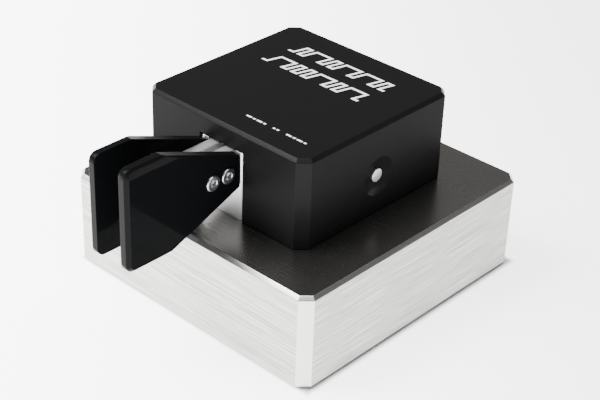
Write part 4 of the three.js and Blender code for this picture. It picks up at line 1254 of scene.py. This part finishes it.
class MORSE_KEY_OT_studio(bpy.types.Operator):
    """Add the pale floor, the soft lights, the sky and the camera"""
    bl_idname = "morse_key.studio"
    bl_label = "Studio"

    FLOOR_REACH = 4.0
    FLOOR_DROP = 0.05 * MM
    AWAY = (0.7, 0.7, 0.0)
    GLOW_FADE = 0.14
    # Painted shadow: how far the base's dark patch on the floor is shifted, and where its soft edge starts and
    # ends.
    SHADE_SHIFT = Vector((0.9 * MM, 0.6 * MM, 0.0))
    SHADE_EDGE = (-1.2 * MM, 0.9 * MM)
    SKY_FADE = (math.sin(math.radians(3)), math.sin(math.radians(22)))
    SKY_TINT = (1.0, 0.995, 0.98, 1.0)
    SKY_SIDES = (-0.7, 0.5)
    LIGHTS = (("overhead", (0.0, -0.1, 1.3), (0.0, 0.0, 0.0), 1.2),
              ("softbox", (-0.60, -0.60, 1.10), (0.0, -0.03, 0.03), 0.6))

    def painted_base_shadow(self, tree, place):
        """Painted shadow of the base: 0 on the floor under the base and 1 round it, shifted a little behind it to
        the right, so the floor's glow goes dark there.
        """
        low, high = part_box("base_block")
        middle = (low + high) / 2 + self.SHADE_SHIFT
        apart = vector_maths(tree, "ABSOLUTE",
                             vector_maths(tree, "SUBTRACT", place, tuple(middle)))
        parts = node(tree, "ShaderNodeSeparateXYZ", Vector=apart)
        farther = maths(tree, "MAXIMUM", parts.outputs["X"], parts.outputs["Y"])
        half = (high.x - low.x) / 2
        return remap(tree, farther, half + self.SHADE_EDGE[0], half + self.SHADE_EDGE[1],
                     shape="SMOOTHSTEP")

    def floor(self, studio):
        """A pale floor that glows like a light table's top, with painted shade: its glow is dimmer on the side
        away from the softbox, and a painted shadow lies under the base.
        """
        bm = bmesh.new()
        corners = [bm.verts.new((self.FLOOR_REACH * x, self.FLOOR_REACH * y, -self.FLOOR_DROP))
                   for x, y in ((-1, -1), (1, -1), (1, 1), (-1, 1))]
        bm.faces.new(corners)
        paint = bpy.data.materials.new("pale floor")
        paint.use_nodes = True
        tree = paint.node_tree
        shader = tree.nodes["Principled BSDF"]
        shader.inputs["Roughness"].default_value = 0.9
        shader.inputs["Specular IOR Level"].default_value = 0.0
        shader.inputs["Base Color"].default_value = (*studio.floor, 1.0)
        place = object_place(tree)
        across = vector_maths(tree, "DOT_PRODUCT", place, self.AWAY)
        # Painted shade: the glow fades towards the side away from the softbox.
        painted_shade_fall = remap(tree, across, -self.GLOW_FADE, self.GLOW_FADE, 1.0, studio.glow_far,
                     shape="SMOOTHSTEP")
        # Painted shadow: the glow is cut under the base and just beside its right side.
        share = maths(tree, "MULTIPLY", painted_shade_fall, self.painted_base_shadow(tree, place))
        lit = blend(tree, share, (0.0, 0.0, 0.0, 1.0), (*studio.floor, 1.0))
        tree.links.new(lit, shader.inputs["Emission Color"])
        shader.inputs["Emission Strength"].default_value = studio.glow
        piece_of("floor", bm, paint)

    def light(self, name, place, aim, size, power):
        """A soft square light at a place, turned to what it lights."""
        data = bpy.data.lights.new(name, "AREA")
        data.shape = "SQUARE"
        data.size = size
        data.energy = power
        lamp = bpy.data.objects.new(name, data)
        bpy.context.scene.collection.objects.link(lamp)
        lamp.matrix_world = facing(place, Vector(place) - Vector(aim))

    def sky(self, studio):
        """Bright round the horizon and dim above, by the direction's height."""
        world = bpy.data.worlds.new("studio")
        bpy.context.scene.world = world
        world.use_nodes = True
        tree = world.node_tree
        way = node(tree, "ShaderNodeTexCoord").outputs["Generated"]
        parts = node(tree, "ShaderNodeSeparateXYZ", Vector=way)
        fade = remap(tree, parts.outputs["Z"], *self.SKY_FADE, studio.horizon, studio.ceiling,
                     shape="SMOOTHSTEP")
        turn = vector_maths(tree, "DOT_PRODUCT", way, tuple(-part for part in self.AWAY))
        side = remap(tree, turn, *self.SKY_SIDES, studio.far_side, 1.0, shape="SMOOTHSTEP")
        background = tree.nodes["Background"]
        tree.links.new(maths(tree, "MULTIPLY", fade, side), background.inputs["Strength"])
        background.inputs["Color"].default_value = self.SKY_TINT

    def camera(self, studio):
        """The camera, turned by its bearing, its height and its roll."""
        az, el = studio.azimuth, studio.elevation
        back = Vector((math.sin(az) * math.cos(el), -math.cos(az) * math.cos(el), math.sin(el)))
        right = Vector((math.cos(az), math.sin(az), 0.0))
        up = back.cross(right)
        c, s = math.cos(studio.roll), math.sin(studio.roll)
        turn = Matrix((c * right + s * up, c * up - s * right, back)).transposed().to_4x4()
        data = bpy.data.cameras.new("camera")
        data.lens = studio.lens
        data.clip_start = 0.01
        camera = bpy.data.objects.new("camera", data)
        bpy.context.scene.collection.objects.link(camera)
        camera.matrix_world = Matrix.Translation(studio.camera_place) @ turn
        bpy.context.scene.camera = camera

    def execute(self, context):
        studio = context.scene.morse_key_studio
        self.floor(studio)
        self.sky(studio)
        for name, place, aim, size in self.LIGHTS:
            self.light(name, place, aim, size, getattr(studio, name))
        self.camera(studio)
        return {"FINISHED"}


# ---- panel and registration

OPERATORS = (
    MORSE_KEY_OT_base, MORSE_KEY_OT_feet, MORSE_KEY_OT_housing, MORSE_KEY_OT_marks,
    MORSE_KEY_OT_levers, MORSE_KEY_OT_fingerpieces, MORSE_KEY_OT_screws, MORSE_KEY_OT_buttons,
    MORSE_KEY_OT_socket, MORSE_KEY_OT_springs, MORSE_KEY_OT_inside, MORSE_KEY_OT_studio)


class MORSE_KEY_PT_panel(bpy.types.Panel):
    """Every step of the build, in order"""
    bl_idname = "MORSE_KEY_PT_panel"
    bl_label = "Morse Key"
    bl_space_type = "VIEW_3D"
    bl_region_type = "UI"
    bl_category = "Morse Key"

    def draw(self, context):
        for step in OPERATORS:
            self.layout.operator(step.bl_idname)
        for group_name in ("morse_key_sizes", "morse_key_finishes", "morse_key_studio"):
            values = getattr(context.scene, group_name)
            column = self.layout.column()
            for key in values.bl_rna.properties.keys():
                if key not in ("rna_type", "name"):
                    column.prop(values, key)


PROPERTIES = {"morse_key_sizes": MorseKeySizes, "morse_key_finishes": MorseKeyFinishes,
              "morse_key_studio": MorseKeyStudio}
CLASSES = (*PROPERTIES.values(), *OPERATORS, MORSE_KEY_PT_panel)


def register():
    for each in CLASSES:
        bpy.utils.register_class(each)
    for key, each in PROPERTIES.items():
        setattr(bpy.types.Scene, key, PointerProperty(type=each))


def unregister():
    for key in PROPERTIES:
        delattr(bpy.types.Scene, key)
    for each in reversed(CLASSES):
        bpy.utils.unregister_class(each)


def main():
    """Builds the whole key."""
    register()
    bpy.ops.morse_key.base()
    bpy.ops.morse_key.feet()
    bpy.ops.morse_key.housing()
    bpy.ops.morse_key.marks()
    bpy.ops.morse_key.levers()
    bpy.ops.morse_key.fingerpieces()
    bpy.ops.morse_key.screws()
    bpy.ops.morse_key.buttons()
    bpy.ops.morse_key.socket()
    bpy.ops.morse_key.springs()
    bpy.ops.morse_key.inside()
    bpy.ops.morse_key.studio()


if __name__ == "__main__":
    main()
